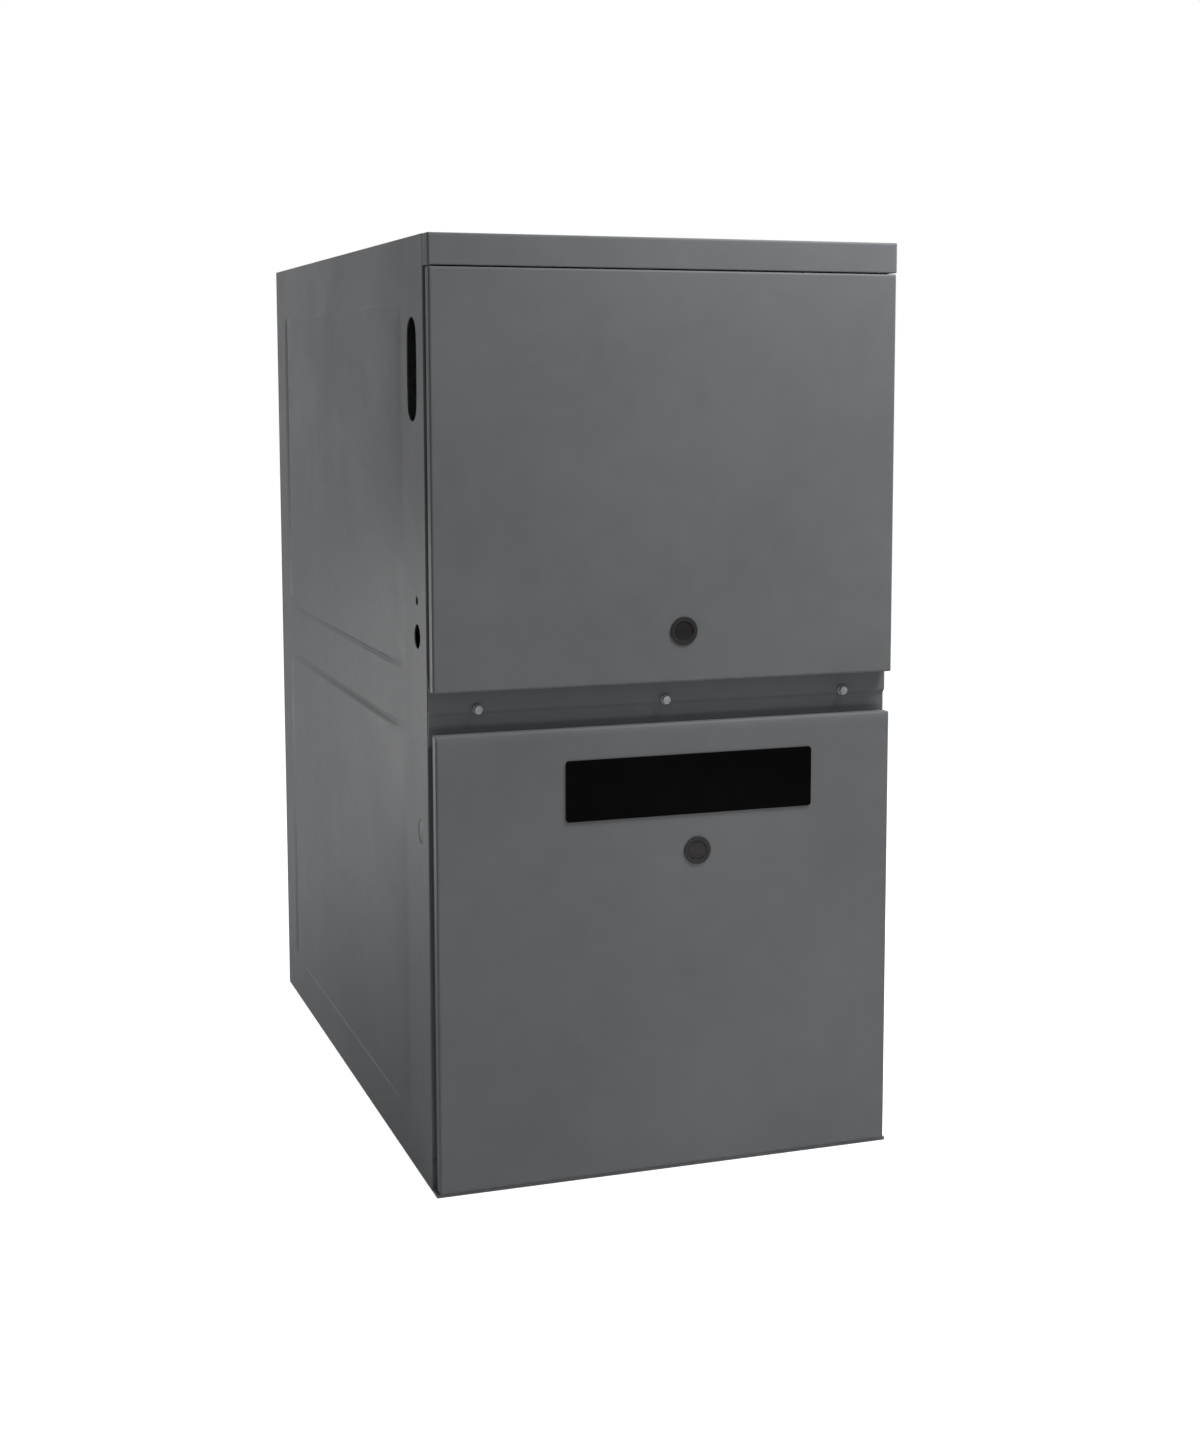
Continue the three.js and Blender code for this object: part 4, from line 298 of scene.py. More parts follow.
def mottle_nodes(n, given):
    """Slow variation of one value over the surface, such as handling marks or uneven gloss: seven
    tenths of a broad noise and three of one nine times finer, stretched from low to high."""
    broad = noise(n, given, given["Scale"], 4.0)[0]
    fine = noise(n, given, n.math("MULTIPLY", given["Scale"], 9.0), 2.0)[0]
    both = n.math("MULTIPLY_ADD", fine, 0.3, n.math("MULTIPLY", broad, 0.7))
    shade = n.add("ShaderNodeMapRange", {0: both, 1: 0.35, 2: 0.65, 3: given["Low"], 4: given["High"]})
    return {"Value": shade.outputs[0]}


def peel_nodes(n, given):
    """The even ripple of sprayed paint, moulded plastic or cast metal: a noise of one octave."""
    return {"Height": n.math("MULTIPLY", noise(n, given, given["Scale"], 1.0)[0], given["Depth"])}


def spangle_nodes(n, given):
    """Crystals of a zinc coating, each with a tone and a tilt of its own: cells of a Voronoi texture
    whose place is bent by a noise."""
    bent = noise(n, given, given["Scale"], 1.0)["Color"]
    shift = n.add("ShaderNodeVectorMath", {0: bent, "Scale": 0.004}, operation="SCALE").outputs[0]
    place = n.add("ShaderNodeVectorMath", {0: given["Place"], 1: bent, 2: shift}, operation="MULTIPLY_ADD")
    cells = n.add("ShaderNodeTexVoronoi", {"Vector": place.outputs[0], "Scale": given["Scale"]})
    grey = n.add("ShaderNodeSeparateColor", {0: cells.outputs["Color"]}).outputs
    flake = n.add("ShaderNodeMapRange", {0: grey[0], 3: given["Low"], 4: given["High"]})
    return {"Value": flake.outputs[0], "Height": grey[1]}


def effect(name, fill, outputs, scale, **others):
    """A shader node group that takes a place, a scale and other numbers, each with its default, and
    puts out the values that fill makes of them."""
    tree = bpy.data.node_groups.new(name, "ShaderNodeTree")
    tree.interface.new_socket("Place", in_out="INPUT", socket_type="NodeSocketVector")
    for key, value in {"Scale": scale, **others}.items():
        socket = tree.interface.new_socket(key, in_out="INPUT", socket_type="NodeSocketFloat")
        socket.default_value = value
    for key in outputs:
        tree.interface.new_socket(key, in_out="OUTPUT", socket_type="NodeSocketFloat")
    nodes = Nodes(tree)
    start, end = nodes.add("NodeGroupInput"), nodes.add("NodeGroupOutput")
    for key, value in fill(nodes, start.outputs).items():
        tree.links.new(value, end.inputs[key])
    return tree


mottle = effect("mottle", mottle_nodes, ["Value"], 6.0, Low=0.0, High=1.0)
peel = effect("peel", peel_nodes, ["Height"], 600.0, Depth=1.0)
spangle = effect("spangle", spangle_nodes, ["Value", "Height"], 120.0, Low=0.0, High=1.0)


def srgb(*levels):
    """Linear colour from display levels of 0 to 255."""
    c = np.array(levels, float) / 255
    return (*np.where(c > 0.04045, ((c + 0.055) / 1.055) ** 2.4, c / 12.92).tolist(), 1.0)


def finish(name, dark, light, rough, metallic=0.0, ripple=(600.0, 0.05), scale=5.0, flakes=None,
           specular=0.5):
    """A material whose colour runs between two shades and whose roughness between two values over the
    surface, with a ripple of (scale, strength) in its relief, or flakes of (scale, strength)."""
    finer, flake_share, relief = 2.3, 0.7, 0.0004
    material = bpy.data.materials.new(name)
    n = cleared(material)
    place = n.add("ShaderNodeTexCoord").outputs["Object"]
    share = n.use(mottle, Place=place, Scale=scale)[0]
    gloss = n.use(mottle, Place=place, Scale=scale * finer, Low=rough[0], High=rough[1])[0]
    if flakes:
        flake = n.use(spangle, Place=place, Scale=flakes[0])
        broad = n.math("MULTIPLY", share, 1 - flake_share)
        share = n.math("MULTIPLY_ADD", flake["Value"], flake_share, broad)
        height, strength = flake["Height"], flakes[1]
    else:
        height, strength = n.use(peel, Place=place, Scale=ripple[0])[0], ripple[1]
    shades = {0: share, 6: srgb(*dark), 7: srgb(*light)}
    colour = n.add("ShaderNodeMix", shades, data_type="RGBA").outputs[2]
    bump = n.add("ShaderNodeBump", {"Height": height, "Strength": strength, "Distance": relief})
    shader = n.add("ShaderNodeBsdfPrincipled", {
        "Base Color": colour, "Roughness": gloss, "Metallic": metallic, "Specular IOR Level": specular,
        "Normal": bump.outputs[0]})
    n.tree.links.new(shader.outputs[0], n.add("ShaderNodeOutputMaterial").inputs[0])
    return material


paint = finish("casing_paint", (92, 94, 96), (98, 100, 102), (0.40, 0.48), ripple=(900.0, 0.06),
               specular=0.06)
galvanised = finish("galvanised", (122, 127, 131), (168, 172, 175), (0.38, 0.54), 0.8, flakes=(95.0, 0.05))
aluminised = finish("aluminised", (128, 127, 124), (166, 165, 160), (0.42, 0.6), 0.8, ripple=(300.0, 0.1))
dark_steel = finish("dark_steel", (42, 44, 46), (60, 62, 64), (0.38, 0.52), 0.3, ripple=(700.0, 0.08))
black_pipe = finish("black_pipe", (36, 36, 37), (54, 53, 52), (0.5, 0.65), 0.3, ripple=(420.0, 0.15))
zinc = finish("zinc", (182, 184, 182), (212, 213, 208), (0.24, 0.38), 0.9, ripple=(500.0, 0.05), scale=60.0)
screw_steel = finish("screw_steel", (122, 124, 126), (142, 144, 146), (0.42, 0.55), 0.35,
                     ripple=(900.0, 0.06), scale=60.0)
cast_aluminium = finish("cast_aluminium", (156, 158, 158), (184, 186, 186), (0.48, 0.62), 0.75,
                        ripple=(1500.0, 0.35))
black_plastic = finish("black_plastic", (22, 22, 23), (32, 32, 33), (0.42, 0.56), ripple=(2200.0, 0.12),
                       specular=0.2)
bare_black = finish("bare_black", (1, 1, 1), (4, 4, 4), (0.45, 0.55), ripple=(2200.0, 0.05), specular=0.02)
red_plastic = finish("red_plastic", (160, 30, 24), (188, 44, 34), (0.3, 0.42), ripple=(1500.0, 0.05))
ceramic = finish("ceramic", (214, 209, 198), (236, 232, 223), (0.7, 0.85), ripple=(1800.0, 0.2))
board_green = finish("board_green", (34, 76, 48), (52, 100, 66), (0.36, 0.5), ripple=(1200.0, 0.08))
black_rubber = finish("black_rubber", (20, 20, 20), (32, 32, 31), (0.82, 0.95), ripple=(1300.0, 0.5))
foil = finish("foil", (186, 189, 192), (216, 218, 220), (0.24, 0.4), 0.9, ripple=(160.0, 0.6))
dark_glass = finish("dark_glass", (32, 30, 30), (42, 39, 39), (0.2, 0.3), ripple=(80.0, 0.02), specular=0.08)
for part in frame["record"]["subparts"]:
    node, look = frame["nodes"][part["node"]], part["material_slot"]
    node.data.materials.clear()
    node.data.materials.append(bpy.data.materials[look])


# ------------ floor
def pale_floor():
    """The floor: diffuse under the lamps, with light of its own for the eye and a little for gloss and
    glass, so that it looks white and keeps the shadow."""
    grey, for_eye, for_mirror = (0.8, 0.8, 0.8, 1), 0.86, 0.12
    material = bpy.data.materials.new("floor")
    n = cleared(material)
    eye, mirror = n.eye_and_mirror()
    seen = n.math("MULTIPLY_ADD", eye, for_eye, n.math("MULTIPLY", mirror, for_mirror))
    diffuse = n.add("ShaderNodeBsdfDiffuse", {"Color": grey})
    glow = n.add("ShaderNodeEmission", {"Color": (1, 1, 1, 1), "Strength": seen})
    both = n.add("ShaderNodeAddShader")
    n.tree.links.new(diffuse.outputs[0], both.inputs[0])
    n.tree.links.new(glow.outputs[0], both.inputs[1])
    n.tree.links.new(both.outputs[0], n.add("ShaderNodeOutputMaterial").inputs[0])
    mesh = bpy.data.meshes.new("floor")
    far, low = 14.0, -0.0004
    corners = [(-far, -far, low), (far, -far, low), (far, far, low), (-far, far, low)]
    mesh.from_pydata(corners, [], [(0, 1, 2, 3)])
    mesh.materials.append(material)
    floor = placed("floor", mesh)


def pale_world():
    """A white surround for the eye, for gloss and for glass, and a soft dim one for everything else."""
    dim = 0.22
    world = bpy.data.worlds.new("studio")
    bpy.context.scene.world = world
    n = cleared(world)
    strength = n.math("MAXIMUM", n.math("MAXIMUM", *n.eye_and_mirror()), dim)
    light = n.add("ShaderNodeBackground", {"Color": (1, 1, 1, 1), "Strength": strength})
    n.tree.links.new(light.outputs[0], n.add("ShaderNodeOutputWorld").inputs[0])


pale_floor()
pale_world()


# ------------ pressed pans: doors and rail
def even(inset, y, corner):
    """A station that is drawn in alike on its four sides."""
    return inset, inset, inset, inset, y, corner


def pan_ring(x, z, station, arc):
    """One station of a pan: how far its left, right, bottom and top are drawn in, y and the corner."""
    left, right, bottom, top, y, corner = station
    return to_axis(at(rounded((x[0] + left, x[1] - right), (z[0] + bottom, z[1] - top), corner, arc), y), "y")


def pan(x, z, stations, hole=None, arc=5):
    """A pressed pan carried round its outline. With a hole (x, z, radius) the face starts and ends at
    the hole's rolled rim, each point in its own direction from the middle; else at a flat cap."""
    rings = [pan_ring(x, z, station, arc) for station in stations]
    if hole is None:
        return grid(np.array(rings))
    middle, radius = np.array([hole[0], 0, hole[1]]), hole[2]

    def rim(ring, wider, way):
        """The ring's points drawn in to the hole's radius or a little wider, at the ring's depth."""
        away = (ring - middle) * (1, 0, 1)
        spot = middle + away / np.linalg.norm(away, axis=1)[:, None] * (radius + wider)
        spot[:, 1] = ring[0, 1] + (0 if wider else 0.3 * way)
        return spot

    front = [rim(rings[0], wider, 1) for wider in (1.5, 0.3, 0)]
    back = [rim(rings[-1], wider, -1) for wider in (1.5, 0.3, 0)]
    return grid(np.array(front + rings + back), closed=True)


def door_stations(top, drop=2, side=2, flange=18, bend=1.2, wall=SHEET):
    """Stations of a door's skin: face, a quarter ellipse round each edge (drop deep, side or top wide),
    the return to the back, a flange turned in, and the same way back on the inside."""
    sides, back_y = np.array((side, side, side, top), float), DOOR_BACK_Y
    inner, roll = sides + wall * 0.6, edge_arc(1, 5)
    out = [(*(sides + 6), FACE_Y, 1.2), (*(sides + 0.8), FACE_Y, 1.2)]
    out += [(*(sides * i), FACE_Y + drop * d, 1.2) for i, d in roll]
    out += [even(0, back_y - bend - 0.6, 1.2)]
    out += [even(bend * d, back_y - bend * i, 1.2) for i, d in roll[::2]]
    out += [even(flange - 0.4, back_y, 1.2), even(flange, back_y - 0.4, 1.0),
            even(flange, back_y - wall + 0.2, 1.0), even(flange - 0.2, back_y - wall, 1.0),
            even(wall + bend, back_y - wall, 0.8), even(wall, back_y - wall - bend, 0.6),
            even(wall, FACE_Y + drop + wall, 0.6)]
    out += [(*(wall + (inner - wall) * i), FACE_Y + wall + drop * d, 0.6) for i, d in roll[::-1][1:]]
    return out + [(*(inner + 6), FACE_Y + wall, 0.8)]


def rail_stations():
    """Stations of the top rail: face, rolled top and end edges, straight sides, and the inside."""
    back, sides = CASE_Y - GAP, np.array((2, 2, 0.6, 2), float)
    rolls = [(*(sides * i), FACE_Y + 2 * d, 1.0) for i, d in edge_arc(1, 5)]
    return [(*(sides + 0.8), FACE_Y, 1.0), *rolls, even(0, back - 0.3, 1.0), even(0.3, back, 0.8),
            even(0.9, back, 0.6), even(1, back - 0.3, 0.6), even(1, FACE_Y + 4, 0.6),
            even(2, FACE_Y + 3, 0.6)]


piece("upper_door_skin", paint, pan(UPPER_X, UPPER_Z, door_stations(2), (*UPPER_PORT, PORT_HOLE), 8),
      body="upper_door", stands_for="upper_door")
piece("lower_door_skin", paint, pan(LOWER_X, LOWER_Z, door_stations(8), (*LOWER_PORT, PORT_HOLE), 8),
      body="lower_door", stands_for="lower_door")
piece("top_rail_skin", paint, pan((-HALF, HALF), RAIL_Z, rail_stations()), stands_for="top_rail")


# ------------ folded sheets
def lines(*spans, least=0.15):
    """Sorted grid lines from spans of (start, end, count), without those closer than the least gap."""
    every = np.unique(np.round(np.concatenate([np.linspace(*span) for span in spans]), 4))
    return every[np.append(True, np.diff(every) > least)]


def field_lines(span, between, past, count):
    """Grid lines for a raised field: close together over its slopes and just past them."""
    a, b = span
    return (a - 4, a, 5), (a, a + 18, 17), (a + 18, b - 18, between), (b - 18, b, 17), (b, b + past, count)


def folded(us, vs, place, holes=()):
    """A sheet over the flat grid us by vs, put in space by place(u, v). Each hole is ((u0, u1), (v0, v1),
    outline): the cells between those lines give way to rings that run from the cut-out's border to the
    outline, whose points lie in the border's directions from the middle."""
    nu, nv = len(us), len(vs)
    u, v = np.meshgrid(us, vs, indexing="ij")
    flat = [np.stack([u, v], -1).reshape(-1, 2)]
    i, j = np.meshgrid(np.arange(nu - 1), np.arange(nv - 1), indexing="ij")
    keep = np.ones(i.shape, bool)
    extra, count = [], nu * nv
    for (u0, u1), (v0, v1), outline in holes:
        a0, a1 = np.searchsorted(us, u0 - 1e-6), np.searchsorted(us, u1 - 1e-6)
        b0, b1 = np.searchsorted(vs, v0 - 1e-6), np.searchsorted(vs, v1 - 1e-6)
        keep[a0:a1, b0:b1] = False
        border = np.concatenate([
            np.stack([np.arange(a0, a1), np.full(a1 - a0, b0)], -1),
            np.stack([np.full(b1 - b0, a1), np.arange(b0, b1)], -1),
            np.stack([np.arange(a1, a0, -1), np.full(a1 - a0, b1)], -1),
            np.stack([np.full(b1 - b0, a0), np.arange(b1, b0, -1)], -1)])
        ids = border[:, 0] * nv + border[:, 1]
        spots = np.stack([us[border[:, 0]], vs[border[:, 1]]], -1)
        inner = outline(spots)
        flat += [spots * (1 - t) + inner * t for t in (0.6, 0.93, 1.0)]
        added = count + np.arange(3 * len(ids)).reshape(3, -1)
        table = np.concatenate([ids[None], added])
        count += added.size
        after = np.roll(table, -1, 1)
        extra.append(np.stack([table[:-1], after[:-1], after[1:], table[1:]], -1).reshape(-1, 4))
    quads = np.stack([i * nv + j, (i + 1) * nv + j, (i + 1) * nv + j + 1, i * nv + j + 1], -1)[keep]
    flat = np.concatenate(flat)
    faces = np.concatenate([quads.reshape(-1, 4), *extra])
    used, faces = np.unique(faces, return_inverse=True)
    return place(flat[used, 0], flat[used, 1]), faces.reshape(-1, 4).tolist()


def stadium(centre, half_width, half_height):
    """The outline of an upright slot with round ends, met by rays that keep each spot's share of the way."""
    def outline(spots):
        """Spots moved along their rays from the slot's straight middle line to its edge."""
        away = spots - centre
        core = half_height - half_width
        middle = np.stack([np.zeros(len(spots)), np.clip(away[:, 1] * 0.72, -core, core)], -1)
        ray = away - middle
        return centre + middle + ray / np.linalg.norm(ray, axis=1)[:, None] * half_width
    return outline


def disc(centre, radius):
    """The outline of a round hole, met by rays from its centre."""
    def outline(spots):
        """Spots moved along their rays from the centre to the circle."""
        away = spots - centre
        return centre + away / np.linalg.norm(away, axis=1)[:, None] * radius
    return outline


def thicken(thing, thickness):
    """Gives a one-sided sheet its wall; the edges of the sheet and of its holes stay sharp."""
    mesh = thing.data
    edges, sharp = np.zeros(len(mesh.loops), np.int32), np.zeros(len(mesh.edges), bool)
    mesh.loops.foreach_get("edge_index", edges)
    mesh.edges.foreach_get("use_edge_sharp", sharp)
    mesh.edges.foreach_set("use_edge_sharp", sharp | (np.bincount(edges, minlength=len(sharp)) == 1))
    wall = thing.modifiers.new("wall", "SOLIDIFY")
    wall.thickness, wall.offset, wall.use_even_offset = thickness * MM, -1, False


def smooth_step(t):
    """Zero to one along a cubic that is level at both ends."""
    t = np.clip(t, 0, 1)
    return t * t * (3 - 2 * t)


def bell(t):
    """A bell curve: one at zero, and next to nothing two units away."""
    return np.exp(-t ** 2)


def field_rise(y, z, span, rise=2.0, slope=4.0, long_slope=32.0, corner=14.0, crease=1.1, gutter=2.3):
    """How far a raised field stands out: its rise, eased over the slope inside its rounded outline, less
    a crease along its lower and upper foot and a shallow gutter behind it, which both follow bell
    curves. Towards the front edge the slope grows long. The crease fades out towards the front, the
    back and the upper field's top edge."""
    (front, back), (low, high) = FIELD_Y, span
    qy = np.abs(y - (front + back) / 2) - (back - front) / 2 + corner
    qz = np.abs(z - (low + high) / 2) - (high - low) / 2 + corner
    away = np.hypot(np.maximum(qy, 0), np.maximum(qz, 0)) + np.minimum(np.maximum(qy, qz), 0) - corner
    near_front = smooth_step((front + 70 - y) / 50)
    near_back = smooth_step((y - back + 24) / 20)
    under_top = smooth_step((UPPER_FIELD[1] - 4 - z) / 10)
    level = smooth_step((z - low) / corner) * smooth_step((high - z) / corner)
    eased = rise * smooth_step((-away - 2.4 * (1 - near_front)) / (slope + long_slope * near_front))
    foot = crease * bell((away + 1.6) / 1.2) * (1 - near_front) * (1 - near_back) * under_top
    return eased - foot - gutter * bell((y - back - 9) / 7) * level


def side_sheet(side):
    """A side panel folded from a flat sheet: returns of 22 mm at the front and back round bends of
    radius 1.6, with two raised fields, the gas slot, the cable entry, the wire hole and the knockout."""
    flange, bend = 22.0, 1.6
    y0, y1, arc = CASE_Y + bend, BACK_Y - SHEET - GAP - bend, bend * math.pi / 2
    reach = flange - bend + arc

    def place(u, z):
        """u is y along the side; past the bends it runs on round them and into the returns."""
        over = np.where(u < y0, y0 - u, np.where(u > y1, u - y1, 0))
        turn = np.clip(over / bend, 0, math.pi / 2)
        straight = np.maximum(over - arc, 0)
        end, way = np.where(u < y0, y0, y1), np.where(u < y0, -1.0, 1.0)
        y = np.where(over > 0, end + way * bend * np.sin(turn), u)
        x = -HALF + bend * (1 - np.cos(turn)) + straight
        rise = field_rise(u, z, UPPER_FIELD) + field_rise(u, z, LOWER_FIELD)
        return np.stack([-side * (x - rise), y, z], -1)

    def cells(grid_lines, middle, half):
        """The grid lines nearest to both ends of a span."""
        return [float(grid_lines[np.argmin(np.abs(grid_lines - end))]) for end in about(middle, half)]

    slot, entry, wire, knock = (FACE_Y + 62, 740.0), (FACE_Y + 52.5, 503.0), (FACE_Y + 52.5, 535.0), KNOCKOUT
    us = lines((y0 - reach, y0 - arc, 3), (y0 - arc, y0, 6), (y0, y0 + 1, 2), (*about(knock[0], 13), 11),
               (*about(entry[0], 15), 13), (*about(slot[0], 26), 12), *field_lines(FIELD_Y, 14, 28, 15),
               (y1 - 1, y1, 2), (y1, y1 + arc, 6), (y1 + arc, y1 + reach, 3))
    vs = lines((0, LOWER_FIELD[0], 4), (*about(knock[1], 15), 13), (*about(entry[1], 15), 13),
               (*about(wire[1], 8), 7), (*about(slot[1], 54), 19), (UPPER_FIELD[1], HEIGHT, 4),
               *field_lines(LOWER_FIELD, 12, 4, 5), *field_lines(UPPER_FIELD, 12, 4, 5))
    # each cut: its spot, half the width and height that it takes out of the grid, and its outline
    cuts = [(slot, 26, 54, stadium(slot, 18, 46)), (entry, 15, 15, disc(entry, 11)),
            (wire, 8, 8, disc(wire, 4)), (knock, 13, 15, disc(knock, 11))]
    holes = [(cells(us, spot[0], wide), cells(vs, spot[1], high), outline)
             for spot, wide, high, outline in cuts]
    return folded(us, vs, place, holes)


for name, side in (("left", -1), ("right", 1)):
    points, faces = side_sheet(side)
    if side < 0:
        faces = [f[::-1] for f in faces]
    panel = piece(f"{name}_side_skin", paint, (points, faces), stands_for=f"{name}_side_panel",
                  flip=False, sharp=40)
    thicken(panel, SHEET)
    depth = sorted((side * (HALF - 0.25), side * (HALF - SHEET)))
    piece(f"{name}_knockout_blank", paint, peg(10.6, depth, "x", KNOCKOUT, 0.25, 40))


# ------------ channel, plate, ports and screws
def strip_profile():
    """The channel's section (y, z) in order round its wall: the lower half lies 3 mm deeper."""
    step, low, high = 3, LOWER_Z[1] + 16, UPPER_Z[0] + 4 - GAP
    outer = [(RING_Y, 408), (RING_Y, low), (RING_Y - step, low + step), (RING_Y - step, high - step),
             (RING_Y, high), (RING_Y, 470)]
    inner = [(y + SHEET, z + k) for (y, z), k in zip(outer, (0, 1, 1, -1, -1, 0))]
    return outer + inner[::-1]


def port(spot, half):
    """A view port: a rolled rim, a barrel through the sheet, and a slightly crowned pane."""
    rim = [(8.9, -0.9), (13, -0.9), (13, -0.3), (10.2, -0.3), (10.2, 3), (7.6, 3), (7.6, 2), (8.9, 2)]
    piece(f"{half}_port_rim", black_plastic, ring(np.add(rim, (0, FACE_Y)), "y", spot, 0.35, 64),
          body=f"{half}_door", stands_for=f"{half}_port_bezel")
    pole, flat = 0.05, 8.4
    r = np.linspace(pole, flat, 9)
    crown = np.stack([r, -0.5 + 0.35 * (r / flat) ** 2], -1)
    pane = np.concatenate([crown, [(8.6, 0.1), (8.6, 1.4), (8.3, 1.7), (pole, 1.7)]]) + (0, FACE_Y)
    piece(f"{half}_port_pane", dark_glass, spin(pane, "y", spot, 64, closed=False),
          body=f"{half}_door", stands_for=f"{half}_port_glass")


def hex_screw(x, z, seat, sides=48, length=12.0, pitch=1.8):
    """A hexagon washer-head screw along +Y: chamfered head, coned washer, and a threaded shank whose
    radius follows a helix: it swells with the angle less the turns made along the shank."""
    angle = np.linspace(0, TAU, sides, endpoint=False)
    flat = 3.5 / np.cos((angle % (TAU / 6)) - TAU / 12)

    def station(radius, y):
        """One ring of the screw; its radius is one value or follows the angle."""
        return at(polar((x, z), radius, angle), seat + y)

    head = [(0.2, -4.3), (flat * 0.7, -4.3), (np.minimum(flat, 3.65), -4.7), (flat, -4.3), (flat, -1.6),
            (flat + 0.2, -1.45), (4.4, -1.35), (4.9, -0.7), (5.0, -0.35), (2.0, -0.3)]
    shank = []
    for y in np.linspace(0, length, 49):
        swell = np.maximum(0, np.cos(angle - y * TAU / pitch)) ** 2 * (y < length - 1.5)
        shank.append((1.55 + 0.42 * swell * (1 if y < length - 1 else 0.4), y - 0.3))
    return prism([station(r, y) for r, y in [*head, *shank, (0.2, length)]], "y")


piece("door_channel_skin", paint, bar(strip_profile(), UPPER_X, "x", 0.9), stands_for="door_channel")
port(UPPER_PORT, "upper")
port(LOWER_PORT, "lower")
piece("name_plate_blank", bare_black, slab(PLATE_X, PLATE_Z, (FACE_Y - 1.2, FACE_Y - GAP), "y", 0.35, 3.0),
      body="lower_door", stands_for="name_plate", slot="black_plastic")
for i, x in enumerate(SCREW_X, 1):
    piece(f"channel_screw_{i}_hex", screw_steel, hex_screw(x, SCREW_Z, RING_Y - 3),
          stands_for=f"channel_screw_{i}", slot="zinc", sharp=40)


# ------------ tools for the works inside
def inset(outline, by):
    """A closed outline drawn in square to itself; each point's normal comes from its neighbours."""
    ahead = np.roll(outline, -1, 0) - np.roll(outline, 1, 0)
    normal = np.stack([ahead[:, 1], -ahead[:, 0]], -1) / np.linalg.norm(ahead, axis=1)[:, None]
    x, y = outline.T
    way = np.sign(np.sum(x * np.roll(y, -1) - y * np.roll(x, -1)))
    return outline - normal * by * way


def rolled(outline, h, axis="z", edge=0.6):
    """A prism over any closed outline, with the edges of both ends rolled."""
    rolls = edge_arc(edge, 3)
    stations = [(i, h[0] + d) for i, d in rolls] + [(i, h[1] - d) for i, d in rolls[::-1]]
    return prism([at(inset(outline, i), p) for i, p in stations], axis)


def nut(across, h, axis, centre, edge=0.4):
    """A hexagon bar with rolled ends; its corners are slightly round."""
    angle = np.linspace(0, TAU, 60, endpoint=False)
    radius = np.minimum(across / 2 / np.cos((angle % (TAU / 6)) - TAU / 12), across * 0.565)
    return rolled(polar(centre, radius, angle), h, axis, edge)


def band(radii, h, axis, centre, soft=0.4, sides=48):
    """A ring of rectangular section between two radii."""
    (r0, r1), (h0, h1) = radii, h
    return ring([(r0, h0), (r1, h0), (r1, h1), (r0, h1)], axis, centre, soft, sides)


def pegs(radius, h, axis, spots, edge=0.5, sides=20):
    """Equal pegs, one at each spot."""
    return [peg(radius, h, axis, spot, edge, sides) for spot in spots]


def blocks(spots, size, h, axis, edge=0.2, corner=0.3):
    """Equal blocks of one size (a, b), each about its own spot."""
    return [slab(about(a, size[0] / 2), about(b, size[1] / 2), h, axis, edge, corner) for a, b in spots]


def turned_by(shell, degrees, centre):
    """A shell turned round a line along X through (y, z)."""
    points, faces = shell
    c, s = math.cos(math.radians(degrees)), math.sin(math.radians(degrees))
    y, z = points[:, 1] - centre[0], points[:, 2] - centre[1]
    return np.stack([points[:, 0], centre[0] + y * c - z * s, centre[1] + y * s + z * c], -1), faces


def looking(points, faces, away):
    """The faces of an open sheet, turned over together unless they look along away: one vector, or a
    function that gives a vector for each of the faces' middles."""
    q = np.array(faces)
    normal = np.cross(points[q[:, 2]] - points[q[:, 0]], points[q[:, 3]] - points[q[:, 1]])
    wanted = away(points[q].mean(1)) if callable(away) else away
    return points, faces if np.sum(normal * wanted) > 0 else [f[::-1] for f in faces]


def tube(path, radius, wall, sides):
    """A hollow tube along a path: the outer rings, then the inner ones on the way back."""
    outer, inner = sweep(path, radius, sides), sweep(path, radius - wall, sides)
    return grid(np.concatenate([outer, inner[::-1]]), closed=True)


def arc_path(centre, radius, start, end, steps):
    """Points (a, b) of an arc from one angle in degrees to another."""
    return polar(centre, radius, np.radians(np.linspace(start, end, steps)))


# ------------ heat section
PANEL_Y, BURNER_Z, TOP_PASS, TUBE_X = -183.4, 504.5, 234.0, (-114.0, -38.0, 38.0, 114.0)
SEAT_Y, MID_Z, FLUE_Z = PANEL_Y - GAP, BURNER_Z + TOP_PASS / 2, BURNER_Z + TOP_PASS
PIPE_X, PIPE_Y, PIPE_RADIUS, PIPE_BEND = -172.0, PANEL_Y - 129.5, 10.5, 24.0


